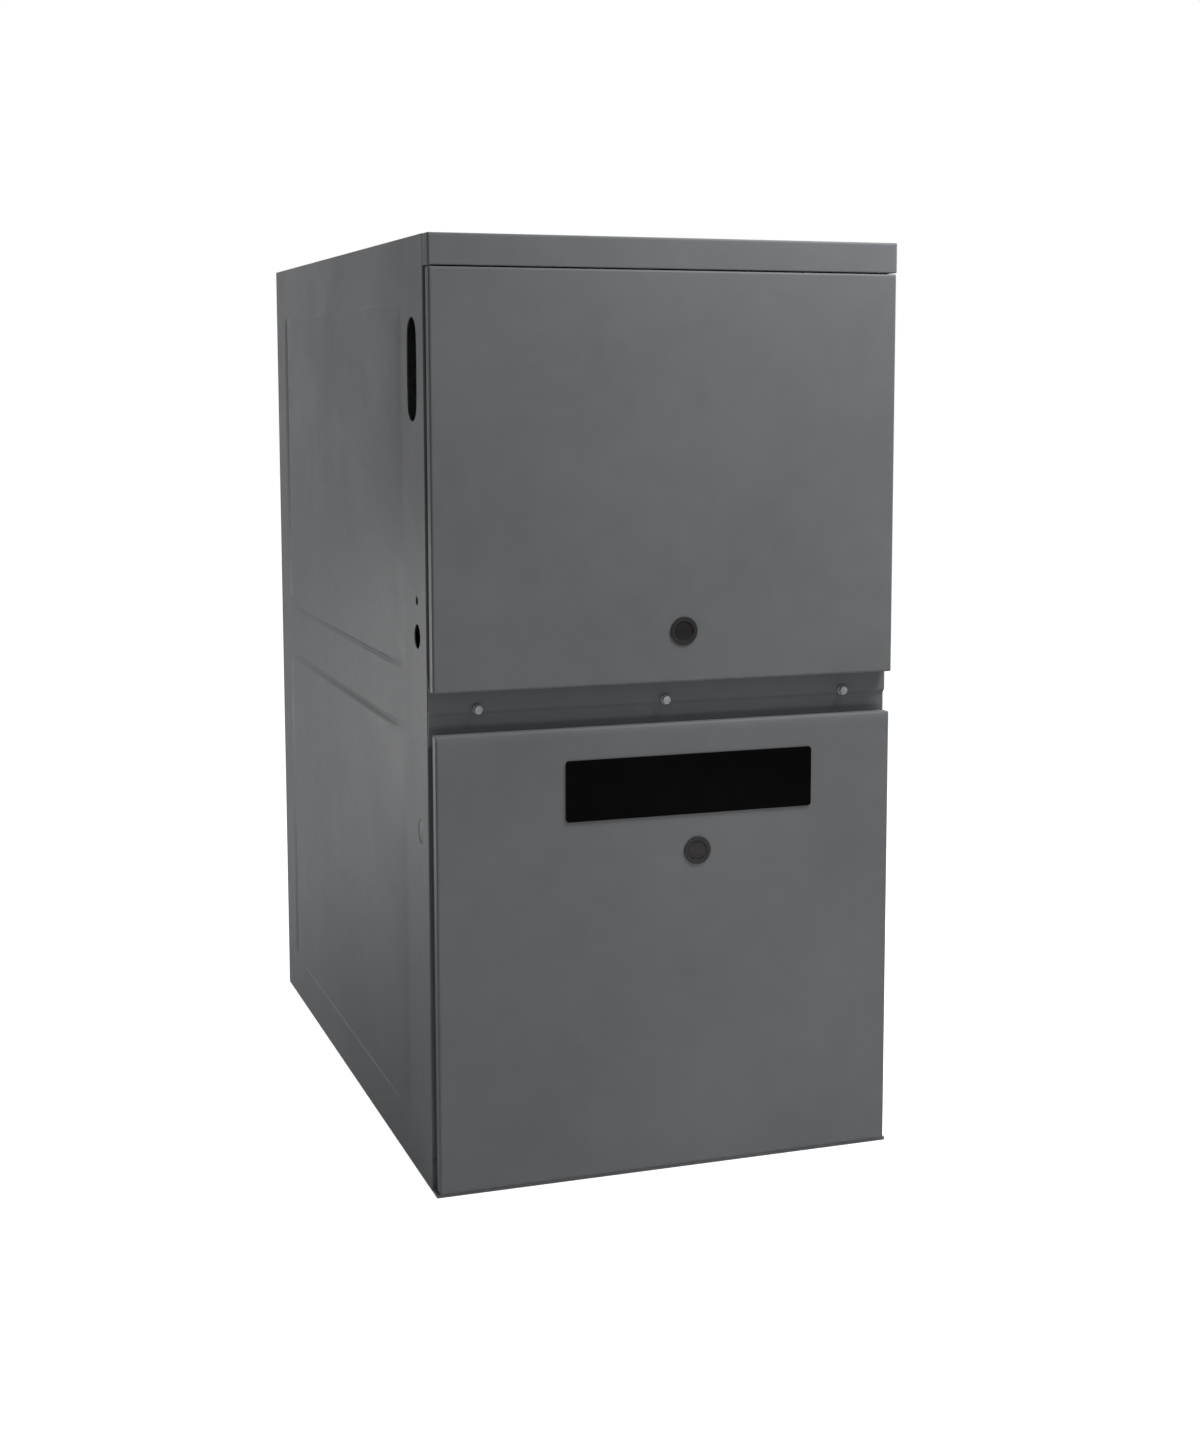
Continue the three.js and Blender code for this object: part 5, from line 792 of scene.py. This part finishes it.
def serpentine(x):
    """A heat exchanger tube: four level passes and three half-turns. Its upper two passes are pinched
    from above and below in turn: the radius falls by a bell curve along the pass times the cube of
    the section's upward or downward direction."""
    bend, radius, wall, sides, deep, pitch = TOP_PASS / 6, 22.0, 1.5, 28, 6.5, 34
    end, near, far = PANEL_Y - 3, PANEL_Y + 14 + radius + bend, BACK_Y - 34 - radius - bend
    z = BURNER_Z + TOP_PASS * np.arange(4) / 3

    def level(y0, y1, k):
        """A straight pass at the height of row k."""
        return np.linspace((y0, z[k]), (y1, z[k]), 74)

    def turn(y, k, way):
        """A half-turn from row k up to the next one, bulging to the back or to the front."""
        return arc_path((y, (z[k] + z[k + 1]) / 2), bend, -90, -90 + way * 180, 24)[1:-1]

    path = np.concatenate([level(end, far, 0), turn(far, 0, 1), level(far, near, 1), turn(near, 1, -1),
                           level(near, far, 2), turn(far, 2, 1), level(far, end, 3)])
    path = np.insert(path, 0, x, 1)
    upper = np.isclose(path[:, 2:], z[2:], atol=0.01).any(1)
    rise = np.cos(np.linspace(0, TAU, sides, endpoint=False))
    pinch = np.zeros((len(path), sides))
    for k, y in enumerate(np.arange(near + 20, far - 10, pitch)):
        along = bell((path[:, 1] - y) / 7.5) * upper
        pinch += deep * along[:, None] * np.maximum(0, rise if k % 2 else -rise) ** 3
    return tube(path, radius - pinch, wall, sides)


def burner_shell(x):
    """An inshot burner: bell, throat and head as one turned wall, with a flared lip at the mouth."""
    back, front, wall = PANEL_Y - 10, PANEL_Y - 105, 1
    outer = [(16, front), (15.9, front + 1.2), (13.4, front + 7), (9.6, front + 20), (9, front + 26),
             (9, front + 34), (12.8, back - 24), (14.8, back - 17), (15, back - 14), (15, back)]
    inner = [(r - wall, y) for r, y in outer[::-1]]
    return spin(softened(outer + inner, 3.0, 4), "y", (x, BURNER_Z), 40)


for i, x in enumerate(TUBE_X, 1):
    piece(f"tube_{i}_pinched", aluminised, serpentine(x), stands_for=f"heat_exchanger_tube_{i}", sharp=50)
    piece(f"burner_{i}_turned", aluminised, burner_shell(x), stands_for=f"burner_{i}", sharp=50)


def manifold():
    """The gas pipe with its capped end, level run, elbow and riser; its collar, spuds and braces."""
    cap = [(132.4, BURNER_Z), (131, BURNER_Z)]
    level = np.linspace((125, BURNER_Z), (PIPE_X + 28, BURNER_Z), 30)
    elbow = arc_path((PIPE_X + PIPE_BEND, BURNER_Z + PIPE_BEND), PIPE_BEND, 270, 180, 14)[1:]
    riser = [(PIPE_X, BURNER_Z + 40), (PIPE_X, BURNER_Z + 57.7)]
    path = np.insert(np.concatenate([cap, level, elbow, riser]), 1, PIPE_Y, 1)
    girth = np.full(len(path), PIPE_RADIUS)
    girth[0] -= 0.9
    collar = band((8, PIPE_RADIUS), (BURNER_Z + 23.5, BURNER_Z + 37.5), "z", (PIPE_X, PIPE_Y))
    shells = [grid(sweep(path, girth, 32, (0, 1, 0))), collar]
    spud = np.add([(1, 15.5), (4.2, 15.5), (3.6, 22.4), (1, 22.4)], (0, PIPE_Y))
    for x in TUBE_X:
        shells += [nut(9, (PIPE_Y + 8.6, PIPE_Y + 16), "y", (x, BURNER_Z), 0.3),
                   ring(spud, "y", (x, BURNER_Z))]
    wall = PIPE_Y + 24.2
    for x in (-76, 76):
        shells += [slab(about(x, 9), (PIPE_Y, wall), about(BURNER_Z, 1.5), "z", 0.3),
                   slab(about(x, 9), about(BURNER_Z, 12), (wall - 1.5, wall), "y", 0.3, 2.5)]
    return shells


piece("manifold_pipe", black_pipe, *manifold(), stands_for="gas_manifold", sharp=45)

VALVE, VALVE_Z, KNOB, KNOB_Y = (PIPE_X, PIPE_Y), (574.5, 662.5), (-186.0, 632.5), -341.2


def valve_casting():
    """The gas valve: a body over a foot, inlet and outlet nuts, the regulator's post, four screws."""
    (x, y), (foot, top) = VALVE, VALVE_Z
    post, corners = (x + 25.5, y), [(x + s, z) for z in (foot + 5.5, top - 5.5) for s in (-35, 35)]
    return [rolled(rounded(about(x, 41), about(y, 28), 7, 7), VALVE_Z, "z", 1.6),
            rolled(rounded(about(x, 37), about(y, 24), 6, 7), (foot - 4, foot + 1.5), "z", 1.0),
            nut(30, (foot - 12, foot - 2.5), "z", VALVE, 0.8),
            nut(30, (top - 1.5, top + 12), "z", VALVE, 0.8),
            band((10, 13), (top - 4.5, top + 11.9), "z", VALVE),
            peg(11, (top - 2.5, top + 10), "z", post, 1.2, 40),
            peg(4, (top + 8.5, top + 11.1), "z", post, 0.6),
            *pegs(3.4, (y - 29.6, y - 27), "y", corners, 0.5, 24)]


def valve_terminals():
    """The terminal block on the valve's front, with six tabs."""
    (x, y), foot = VALVE, VALVE_Z[0]
    spots = [(x + a, foot + b) for a in (12.5, 20.5, 28.5) for b in (16.5, 28.5)]
    return [slab(about(x + 21, 16.8), about(foot + 23, 14.8), (y - 34.8, y - 27), "y", 1.0, 3.0),
            *blocks(spots, (1, 6), (y - 34.9, y - 33), "y")]


def grooved_disc(radius, teeth, h, axis, centre):
    """A disc whose rim has shallow grooves: its radius varies with the cosine of the teeth's angle."""
    angle, deep = np.linspace(0, TAU, teeth * 6, endpoint=False), 0.35
    return rolled(polar(centre, radius - deep + deep * np.cos(teeth * angle), angle), h, axis, 0.7)


piece("valve_casting", cast_aluminium, *valve_casting(), stands_for="gas_valve", sharp=40)
piece("valve_terminals", black_plastic, *valve_terminals())
piece("knob_grip", red_plastic, grooved_disc(12, 24, (KNOB_Y - 5, KNOB_Y), "y", KNOB),
      slab(about(KNOB[0], 3), (KNOB[1] - 11.4, KNOB[1] + 15), (KNOB_Y - 9, KNOB_Y - 1), "y", 1.2, 2.6),
      peg(3, (KNOB_Y - 0.8, KNOB_Y + 4.3), "y", KNOB, 0.3),
      body="gas_valve_knob", stands_for="gas_valve_knob", sharp=40)


def igniter(x=TUBE_X[3], y=SEAT_Y - 5.7, z=BURNER_Z, count=40):
    """The igniter: a ceramic block, two prongs, and between their ends an element that follows a
    cosine of one and a half waves."""
    share = np.linspace(-1, 1, count)
    loop = np.stack([x + 5.3 * share, np.full(count, y), z + 7 + 1.5 * np.cos(share * TAU * 1.5)], -1)
    prongs = [np.linspace((x + s, y, z + 31.5), (x + s, y, z + 8.5), 20) for s in (-5, 5)]
    return [slab(about(x, 11), (SEAT_Y - 13.4, SEAT_Y), (z + 30, z + 50), "z", 1.2, 2.0),
            slab(about(x, 9), (SEAT_Y - 11.3, SEAT_Y - 2.3), (z + 47.5, z + 50), "z", 0.6, 2),
            *[grid(sweep(p, 1.5, 14)) for p in prongs], grid(sweep(loop, 1.1, 12, (0, 1, 0)))]


def flame_sensor(x=TUBE_X[0], y=SEAT_Y - 6.2, z=BURNER_Z + 25):
    """The flame sensor: a waisted ceramic sleeve, its rod and its bracket."""
    sleeve = [(POLE, 0), (3.6, 0), (4.2, 1.5), (5, 2.1), (5, 8.5), (4.2, 9.5), (4.2, 18.5), (5, 19.5),
              (5, 23.1), (2, 24), (POLE, 24)]
    return [spin(np.add(sleeve, (0, z)), "z", (x, y), 36, closed=False),
            peg(1.4, (z - 23, z + 1), "z", (x, y), 0.6, 16),
            slab(about(x, 9), about(z + 10, 4.9), (SEAT_Y - 2.7, SEAT_Y), "y", 0.4, 2.0)]


piece("igniter_moulded", ceramic, *igniter(), stands_for="igniter", sharp=45)
piece("sensor_sleeve", ceramic, *flame_sensor(), stands_for="flame_sensor", sharp=45)

ROLLOUT, ROLLOUT_X = (-245.4, 512.5), 150.3


def beyond(way, a, b):
    """The span from a to b outside the burner box's wall, on the side that way points to."""
    return sorted((way * (ROLLOUT_X + a), way * (ROLLOUT_X + b)))


def rollout_cup(way):
    """A rollout switch on the burner box's side wall: a turned cup, its ear plate and two tabs."""
    cup = np.array([(2.5, 0.2), (12, 0.3), (12, 1.9), (11.2, 2.5), (11.2, 6.1), (8.5, 7), (2.5, 7)])
    y, z = ROLLOUT
    return [ring((cup + (0, ROLLOUT_X)) * (1, way), "x", ROLLOUT, 0.5),
            slab(about(y, 18), about(z, 7), beyond(way, 0, 1.2), "x", 0.3, 5),
            *blocks([(y - 8, z), (y + 8, z)], (1, 6), beyond(way, 6, 13), "x", 0.2, 0.4)]


for side, way in (("left", -1), ("right", 1)):
    piece(f"rollout_{side}_cup", black_plastic, *rollout_cup(way), stands_for=f"rollout_switch_{side}",
          sharp=40)
    piece(f"rollout_{side}_reset", red_plastic, peg(2.2, beyond(way, 3, 10), "x", ROLLOUT, 0.8),
          body=f"rollout_button_{side}", stands_for=f"rollout_button_{side}")


def limit_cup(x=0.0, z=MID_Z, y=SEAT_Y - 1.3):
    """The limit switch: an ear plate, a turned cup, its probe, two rivets and two tabs."""
    cup = [(POLE, -10.4), (9, -10.4), (10, -9.8), (10.4, -7), (11.6, -6.4), (12, -5.8), (12, 0), (POLE, 0)]
    return [slab(about(x, 20), about(z, 9), (SEAT_Y - 1.7, SEAT_Y), "y", 0.3, 4),
            spin(np.add(cup, (0, y)), "y", (x, z), 48, closed=False), peg(6, (y, y + 27.6), "y", (x, z), 1.5),
            *pegs(2.6, (y - 1.6, y), "y", [(x - 16, z), (x + 16, z)]),
            *blocks([(x - 6, z), (x + 6, z)], (0.8, 6), (y - 10.4, y - 4), "y", 0.15)]


SWITCH = (-62.0, MID_Z)


def pressure_dish(y=SEAT_Y - 5.7):
    """The pressure switch: a dished case with a bolted flange, a barbed nipple and a mounting plate."""
    dish = [(POLE, 0), (27.6, 0), (29.5, -1.6), (31.6, -7.6), (33, -8.6), (36, -9.8), (36, -14.2),
            (32.4, -15.2), (31, -16.2), (27, -18.6), (25.6, -22.6), (22.4, -26.6), (21.4, -28),
            (14, -28.2), (12.6, -27), (6, -27), (5, -28), (POLE, -28)]
    nipple = [(0.8, -33), (2.1, -33), (2.4, -31.6), (2.0, -31.4), (2.4, -29.8), (2.0, -29.6), (2.4, -27.6),
              (0.8, -27.6)]
    spots = polar(SWITCH, 31.6, np.linspace(0, TAU, 8, endpoint=False))
    return [spin(np.add(dish, (0, y)), "y", SWITCH, 64, closed=False),
            *pegs(2.2, (y - 16.6, y - 9.6), "y", spots, 0.5, 16),
            spin(np.add(nipple, (0, y)), "y", SWITCH, 24),
            slab(about(SWITCH[0], 26), about(SWITCH[1], 16), (y, SEAT_Y), "y", 0.5, 3)]


piece("limit_cup", zinc, *limit_cup(), stands_for="limit_switch", sharp=40)
piece("pressure_dish", black_plastic, *pressure_dish(), stands_for="pressure_switch", sharp=35)


def hose_path():
    """Out of the switch, up and back in to the collector: straight lines and two quarter bends,
    while x eases from the switch's nipple to the collector's along the way up."""
    y0, y1, bend, aside = PANEL_Y - 39.3, PANEL_Y - 47.6, 33.0, 8
    far = min(y0, y1) - 4
    flat = np.concatenate([
        np.linspace((y0, MID_Z), (far, MID_Z), 4)[:-1],
        arc_path((far, MID_Z + bend), bend, 270, 180, 12),
        np.linspace((far - bend, MID_Z + bend), (far - bend, FLUE_Z - bend), 7)[1:-1],
        arc_path((far, FLUE_Z - bend), bend, 180, 90, 12),
        np.linspace((far, FLUE_Z), (y1, FLUE_Z), 3)[1:]])
    return np.insert(flat, 0, SWITCH[0] - aside * (flat[:, 1] - MID_Z) / (FLUE_Z - MID_Z), 1)


hose_line = hose_path()
hose = piece("switch_hose", black_rubber, grid(sweep(hose_line, 4.0, 24)), stands_for="pressure_hose")


# ------------ scrolls, wheels and motors
def scroll_outline(start, end, turn, top, cutoff):
    """A spiral whose radius grows evenly with its angle, then the outlet's outer wall, its open top and
    its inner wall; returns that outline and the part of it that carries the wall."""
    spiral = polar((0, 0), np.linspace(start, end, 90), np.radians(np.linspace(-turn, 0, 90)))
    outer = np.linspace((end, 0), (end, top), 16)[1:]
    mouth = np.linspace((end, top), (cutoff, top), 16)[1:]
    inner = np.linspace((cutoff, top), spiral[0], 10)[1:-1]
    return np.concatenate([spiral, outer, mouth, inner]), np.concatenate([mouth[-1:], inner, spiral, outer])


def scroll(outline, wall_line, h, axis, centre, lips):
    """A scroll's sheets: a plate at each end that runs from the outline's rolled edge to an inlet, and a
    wall along the outline but for its mouth. lips are (radius, rise from the plate) stations."""
    unit = to_axis((0, 0, 1), axis)
    ray = outline / np.linalg.norm(outline, axis=1)[:, None]
    edge = 1.6

    def lifted(flat, p):
        """A flat line put round the centre at one place along the axis."""
        return to_axis(at(flat + centre, p), axis)

    shells = []
    for end, way, lip in zip(h, (-1, 1), lips):
        stations = [(outline, edge), (inset(outline, 0.4), 0.5), (inset(outline, 1.4), 0)]
        stations += [(ray * r, d) for r, d in lip]
        plate = np.array([lifted(flat, end - way * d) for flat, d in stations])
        shells.append(looking(*grid(plate, caps=False), unit * way))
    wall = np.array([lifted(wall_line, p) for p in np.linspace(h[0] + edge, h[1] - edge, 4)])
    middle = lifted(np.zeros((1, 2)), sum(h) / 2)[0]
    shells.append(looking(*grid(wall, around=False), lambda spots: (spots - middle) * (1 - np.abs(unit))))
    return shells


INDUCER, WHEEL_Y = (36.0, FLUE_Z), -226.0


def paddle(angle):
    """An inducer blade: a plate whose line leans on by the square of its way out."""
    r = np.linspace(8, 49, 10)
    lean = angle + 0.10 * ((r - 8) / 41) ** 2
    line, side = polar(INDUCER, r, lean), 0.7 * np.stack([-np.sin(lean), np.cos(lean)], -1)
    flat = np.concatenate([line + side, (line - side)[::-1]])
    return prism([at(flat, WHEEL_Y + d) for d in (-40, -9.5)], "y")


def inducer_can():
    """The inducer motor: flange, ribbed can and hollow nose as one turned wall, on three feet."""
    can = [(4.3, -46.3), (50, -46.3), (50, -48.3), (42, -49.4), (40, -52), (40, -68.3), (38.6, -68.9),
           (38.6, -73.7), (40, -74.3), (40, -81.3), (38, -89.3), (31, -92.9), (26, -94.3), (10, -94.3),
           (9, -92.3), (POLE, -92.3), (POLE, -64), (4.3, -64)]
    spots = polar(INDUCER, 46, np.radians((30, 150, 270)))
    return [spin(softened(np.add(can, (0, WHEEL_Y)), 1.0), "y", INDUCER, 64),
            *pegs(3, (WHEEL_Y - 52, WHEEL_Y - 47), "y", spots)]


housing = piece("inducer_scroll", dark_steel,
                *scroll(*scroll_outline(56, 74, 220, 82.2, 28), (WHEEL_Y - 46, WHEEL_Y), "y", INDUCER,
                        ([(8, 0), (6, 0)], [(27, 0), (26, 0)])),
                stands_for="inducer_housing", flip=False, sharp=50)
thicken(housing, 1.5)
piece("inducer_impeller", aluminised, *[paddle(a) for a in np.linspace(0, TAU, 12, endpoint=False)],
      band((3, 50), (WHEEL_Y - 40.5, WHEEL_Y - 39), "y", INDUCER),
      peg(9, (WHEEL_Y - 42.5, WHEEL_Y - 26.5), "y", INDUCER, 1),
      peg(4, (WHEEL_Y - 62, WHEEL_Y - 26.5), "y", INDUCER, 0.5),
      body="inducer_wheel", stands_for="inducer_wheel", sharp=40)
piece("inducer_can", dark_steel, *inducer_can(), stands_for="inducer_motor", sharp=35)
collar = [(20.5, 0), (50.8, 0), (50.8, 17), (50.2, 18), (50.2, 20), (50.8, 21), (50.8, 32.4), (50.3, 34),
          (49.8, 34), (49.8, 2), (20.5, 2)]
piece("vent_collar_rolled", galvanised, ring(np.add(collar, (0, HEIGHT - 35)), "z", (87, -249), 0.5, 72),
      stands_for="vent_collar", sharp=40)

SHAFT, OUTLET = (59.6, 216.0), 234.7
lip = [(115, 0), (112.5, 0.4), (110, 2.2), (107.6, 5.4), (106.3, 9)]
housing = piece("blower_scroll", galvanised,
                *scroll(*scroll_outline(140, 200, 240, OUTLET, -70), about(0, 115.5), "x", SHAFT, (lip, lip)),
                stands_for="blower_housing", flip=False, sharp=50)
thicken(housing, SHEET)


def outlet_flange():
    """The flange round the blower's outlet: a flat frame with rolled outer and inner edges."""
    (y, z), edges = SHAFT, ((15.2, 1.2, 0.1), (15, 1, 0.0), (0.3, 0.3, 0.0), (0, 0, 0.5), (0.3, 0.3, 1.0),
                            (15, 1, 1.0), (15.2, 1.2, 0.9))
    rings = [at(rounded(about(0, 129.5 - i), (y - 70 + j, y + 200 - j), max(2.5 - i, 0.5)), z + OUTLET - k)
             for i, j, k in edges]
    return grid(np.array(rings), closed=True)


def blade(angle):
    """A forward-curved blower blade: its line bends off by the square of its way out."""
    s = np.linspace(0, 1, 9)
    line = np.stack([107 + 19 * s, 8 * s ** 2], -1)
    section = np.concatenate([line + (0, 0.1), (line + (0, 0.9))[::-1]])
    c, d = math.cos(angle), math.sin(angle)
    flat = section @ np.array([[c, d], [-d, c]]) + SHAFT
    return prism([at(flat, x) for x in (-100.5, 0, 100.5)], "x")


def blower_wheel():
    """The blower wheel: 30 blades between two rims, a centre plate, a hub and the shaft."""
    rim = np.array([(121, 101.5), (127, 101.5), (127, 96.5), (125.6, 96.5), (125.4, 100.3), (121, 100.3)])
    return [*[blade(a) for a in np.radians(np.arange(0, 360, 12))],
            *[ring(rim * (1, way), "x", SHAFT, 0.4, 96) for way in (-1, 1)],
            band((15, 111), (-1, 1), "x", SHAFT, 0.4, 96), band((6.3, 16), (-18, 14), "x", SHAFT, 1.0),
            peg(6.35, (-52, 18), "x", SHAFT, 0.6)]


def blower_motor_can():
    """The blower motor: two dished end bells of one profile, and four through bolts."""
    bell = np.array([(POLE, 0), (20, 0), (22, 1), (24, 6), (30, 6.6), (58, 8.6), (62, 9), (67, 11.5),
                     (70, 17), (70, 29), (69.2, 29.6), (69.2, 31)])
    can = np.concatenate([bell + (0, -152), (bell * (1, -1) + (0, -22))[::-1]])
    spots = polar(SHAFT, 64, np.radians((45, 135, 225, 315)))
    return [spin(can, "x", SHAFT, 72, closed=False), *pegs(2.2, (-148, -26), "x", spots, 0.6, 16)]


def motor_band():
    """The motor's belly band with three arms to the housing, each with a foot and a bolt."""
    y, z, inner, plate = *SHAFT, -115.8, -118.8
    arm = (slab(about(y, 11), (z + 71, z + 130), (plate, inner), "x", 0.5, 3),
           slab(about(y, 11), (z + 71, z + 74), (plate - 27, inner - 0.2), "x", 0.5, 1),
           peg(4, (plate - 2.2, plate + 0.8), "x", (y, z + 122), 0.8, 20))
    return [band((70.3, 72.3), (inner - 30, inner), "x", SHAFT, 0.4, 72),
            *[turned_by(shell, a, SHAFT) for a in (30, 150, 270) for shell in arm]]


def capacitor_can(x=139.8, y=SHAFT[0] + 150, z=346):
    """The run capacitor: a rimmed can, its strap and bracket, and two tabs."""
    can = [(POLE, 0), (20.6, 0), (22, 1.2), (22, 71), (22.3, 72.4), (22, 74.4), (20.4, 76), (19.6, 75),
           (19, 75.4), (18.6, 78.4), (POLE, 78.8)]
    strap = (z + 28, z + 46)
    return [spin(np.add(can, (0, z)), "z", (x, y), 56, closed=False),
            band((22, 23.4), strap, "z", (x, y), 0.3, 56),
            slab((x - 24, x - 22), about(y, 38), strap, "z", 0.4),
            slab((x - 22.8, x - 0.8), about(y, 18), strap, "z", 0.5),
            *blocks([(x, y - 7), (x, y + 7)], (6, 1), (z + 77, z + 87), "z")]


piece("blower_outlet_flange", galvanised, outlet_flange())
piece("blower_runner", galvanised, *blower_wheel(), body="blower_wheel", stands_for="blower_wheel", sharp=40)
piece("blower_motor_can", dark_steel, *blower_motor_can(), stands_for="blower_motor", sharp=35)
piece("motor_band", galvanised, *motor_band(), stands_for="motor_mount", sharp=40)
piece("capacitor_can", zinc, *capacitor_can(), stands_for="capacitor", sharp=35)

# ------------ controls
BOARD_X, BOARD_Z, BOARD_Y = (-48, 102), (242, 372), CASE_Y + 34 - GAP
BOARD_FACE = BOARD_Y - 10.6
POSTS = [(x, BOARD_Z[0] + 14) for x in np.arange(-31, 75, 10.6)]
TRANSFORMER, DOOR_SWITCH, DECK_Z = (-90, 300), (152, 388), SHAFT[1] + OUTLET
BOX_X, BOX_Z = (-220.9, -174.9), (278, 376)


def on_board(deep):
    """The span from so far in front of the board's face back to it."""
    return BOARD_FACE - deep, BOARD_FACE


def board_sheet():
    """The control board's sheet and its four spacers, which stand in from its corners."""
    spots = [(x, z) for x in (BOARD_X[0] + 8, BOARD_X[1] - 8) for z in (BOARD_Z[0] + 8, BOARD_Z[1] - 8)]
    return [slab(BOARD_X, BOARD_Z, (BOARD_FACE, BOARD_FACE + 1.6), "y", 0.2, 4),
            *pegs(3, (BOARD_FACE + 1, BOARD_Y), "y", spots, 0.4)]


piece("board_sheet", board_green, *board_sheet(), stands_for="control_board", sharp=40)
piece("board_relays", black_plastic,
      *blocks([(x, 348) for x in (-20, 14, 48)], (28, 20), on_board(17), "y", 0.6, 1.4),
      slab((-10, 14), (276, 286), on_board(4), "y", 0.4, 0.8),
      slab((80, 94), (282, 326), on_board(12), "y", 0.6, 1.0), sharp=40)
piece("board_terminals", ceramic, *blocks(POSTS, (8.8, 12), on_board(9), "y", 0.5, 0.8),
      slab((-38, -26), (282, 304), on_board(9), "y", 0.6, 1.5),
      peg(3, on_board(6), "y", LOWER_PORT, 1.5, 24), sharp=40)
piece("board_tabs", zinc, *blocks(POSTS, (4, 0.8), (BOARD_FACE - 11, BOARD_FACE - 8), "y"))


def transformer_core(sheets=20, pitch=1.5):
    """The transformer's stack of sheets, its foot plate and the two ears that hold it."""
    (x, z), front = TRANSFORMER, BOARD_Y - 38
    stack = [slab(about(x, 30), about(z, 25), (front + pitch * k, front + pitch * k + 1.1), "y", 0.2, 1.0)
             for k in range(sheets)]
    return [*stack, slab(about(x, 34), about(z, 20), (BOARD_Y - 2, BOARD_Y), "y", 0.3, 4),
            *blocks([(x - 29, z), (x + 29, z)], (2, 40), (BOARD_Y - 10, BOARD_Y), "y", 0.3, 0.8)]


def transformer_coil():
    """The wrapped coil, whose ends stand out of the stack in front."""
    x, z = TRANSFORMER
    return [slab(about(x, 18), about(z, 18), (BOARD_Y - 44, BOARD_Y - 37), "y", 2.2, 6),
            slab(about(x, 16), about(z, 23), (BOARD_Y - 41, BOARD_Y - 37.4), "y", 0.8, 4)]


def door_switch(front):
    """The door switch's body behind the strap that hangs from the blower deck."""
    x, z = DOOR_SWITCH
    return [slab(about(x, 8), about(z, 14), (front + 1, front + 33), "y", 0.8, 1.6),
            slab(about(x, 16), (z - 14, DECK_Z), (front, front + 1.5), "y", 0.3, 2)]


def junction_can(front):
    """The junction box: a can, its cover on the inner side with two screws, and the gland on top."""
    (x0, x1), (z0, z1), middle = BOX_X, BOX_Z, front + 27
    gland = [(4, -1), (9, -1), (9, 5), (7.6, 8), (5, 8), (4, 7)]
    return [slab(BOX_X, (front, front + 54), BOX_Z, "z", 0.8, 1.6),
            slab((x1 - 1.1, x1 + 1.4), (front - 1, front + 57), (z0 - 3, z1 + 3), "z", 0.8, 1.2),
            ring(np.add(gland, (0, z1)), "z", ((x0 + x1) / 2, middle), 0.5),
            *pegs(2.6, (x1 + 0.9, x1 + 2.3), "x", [(middle, z0 + 6), (middle, z1 - 6)], 0.6)]


strap_y = CASE_Y + 2 * (SHEET + GAP)
piece("transformer_core", dark_steel, *transformer_core(), stands_for="transformer", sharp=40)
piece("transformer_coil", black_plastic, *transformer_coil())
piece("door_switch_body", black_plastic, *door_switch(strap_y), stands_for="door_switch", sharp=40)
piece("plunger_pin", ceramic, peg(3, (FACE_Y + SHEET + GAP, strap_y + 18), "y", DOOR_SWITCH, 1.2, 28),
      body="door_switch_plunger", stands_for="door_switch_plunger")
piece("junction_can", galvanised, *junction_can(CASE_Y + SHEET + 2 * GAP), stands_for="junction_box",
      sharp=40)


# ------------ foam and insulation
def foam_strip(x, z, width=9, thick=5.4 - GAP, aside=4):
    """A foam strip round a door's back: its section is a flattened oval, whose sine and cosine are
    raised to a power under one, closed on itself."""
    angle = np.linspace(0, TAU, 20, endpoint=False)

    def flattened(t):
        """A sine or cosine with its size raised to a power under one."""
        return np.sign(t) * np.abs(t) ** 0.55

    drawn = aside + width / 2 * (1 - flattened(np.cos(angle)))
    y = DOOR_BACK_Y + GAP + thick / 2 * (1 + flattened(np.sin(angle)))
    rings = [pan_ring(x, z, even(i, p, 3), 5) for i, p in zip(drawn, y)]
    return grid(np.array(rings), closed=True)


for half, x, z in (("upper", UPPER_X, UPPER_Z), ("lower", LOWER_X, LOWER_Z)):
    foam = piece(f"{half}_foam_strip", black_rubber, foam_strip(x, z), body=f"{half}_door",
                 stands_for=f"{half}_door_gasket", sharp=60)


def liner_stations(front=-366.0, back=-358.1, edge=2.2):
    """Stations of the liner: its front face, two quarter rolls and its back face."""
    rolls = edge_arc(edge, 4)
    return [even(4, front, 3), *[even(i, front - 0.05 + d, 3) for i, d in rolls],
            *[even(d, back - i, 3) for i, d in rolls], even(4, back, 3)]


x, z = ((span[0] + 26, span[1] - 26) for span in (UPPER_X, UPPER_Z))
liner = piece("door_insulation", foil, pan(x, z, liner_stations(), (*UPPER_PORT, 15), 6),
              body="upper_door", stands_for="upper_door_liner", sharp=60)

# ------------ sheets kept as the solids have them
for name in ("rear_panel", "top_frame", "base_frame", "base_rail", "vestibule_panel", "burner_box",
             "collector_box", "blower_deck", "control_bracket"):
    node = frame["nodes"][name]
    weld = node.modifiers.new("weld", "WELD")
    weld.merge_threshold = 0.01 * MM
    roll = node.modifiers.new("rolled edge", "BEVEL")
    roll.width, roll.segments = 0.35 * MM, 2
    roll.limit_method, roll.angle_limit = "ANGLE", math.radians(40)
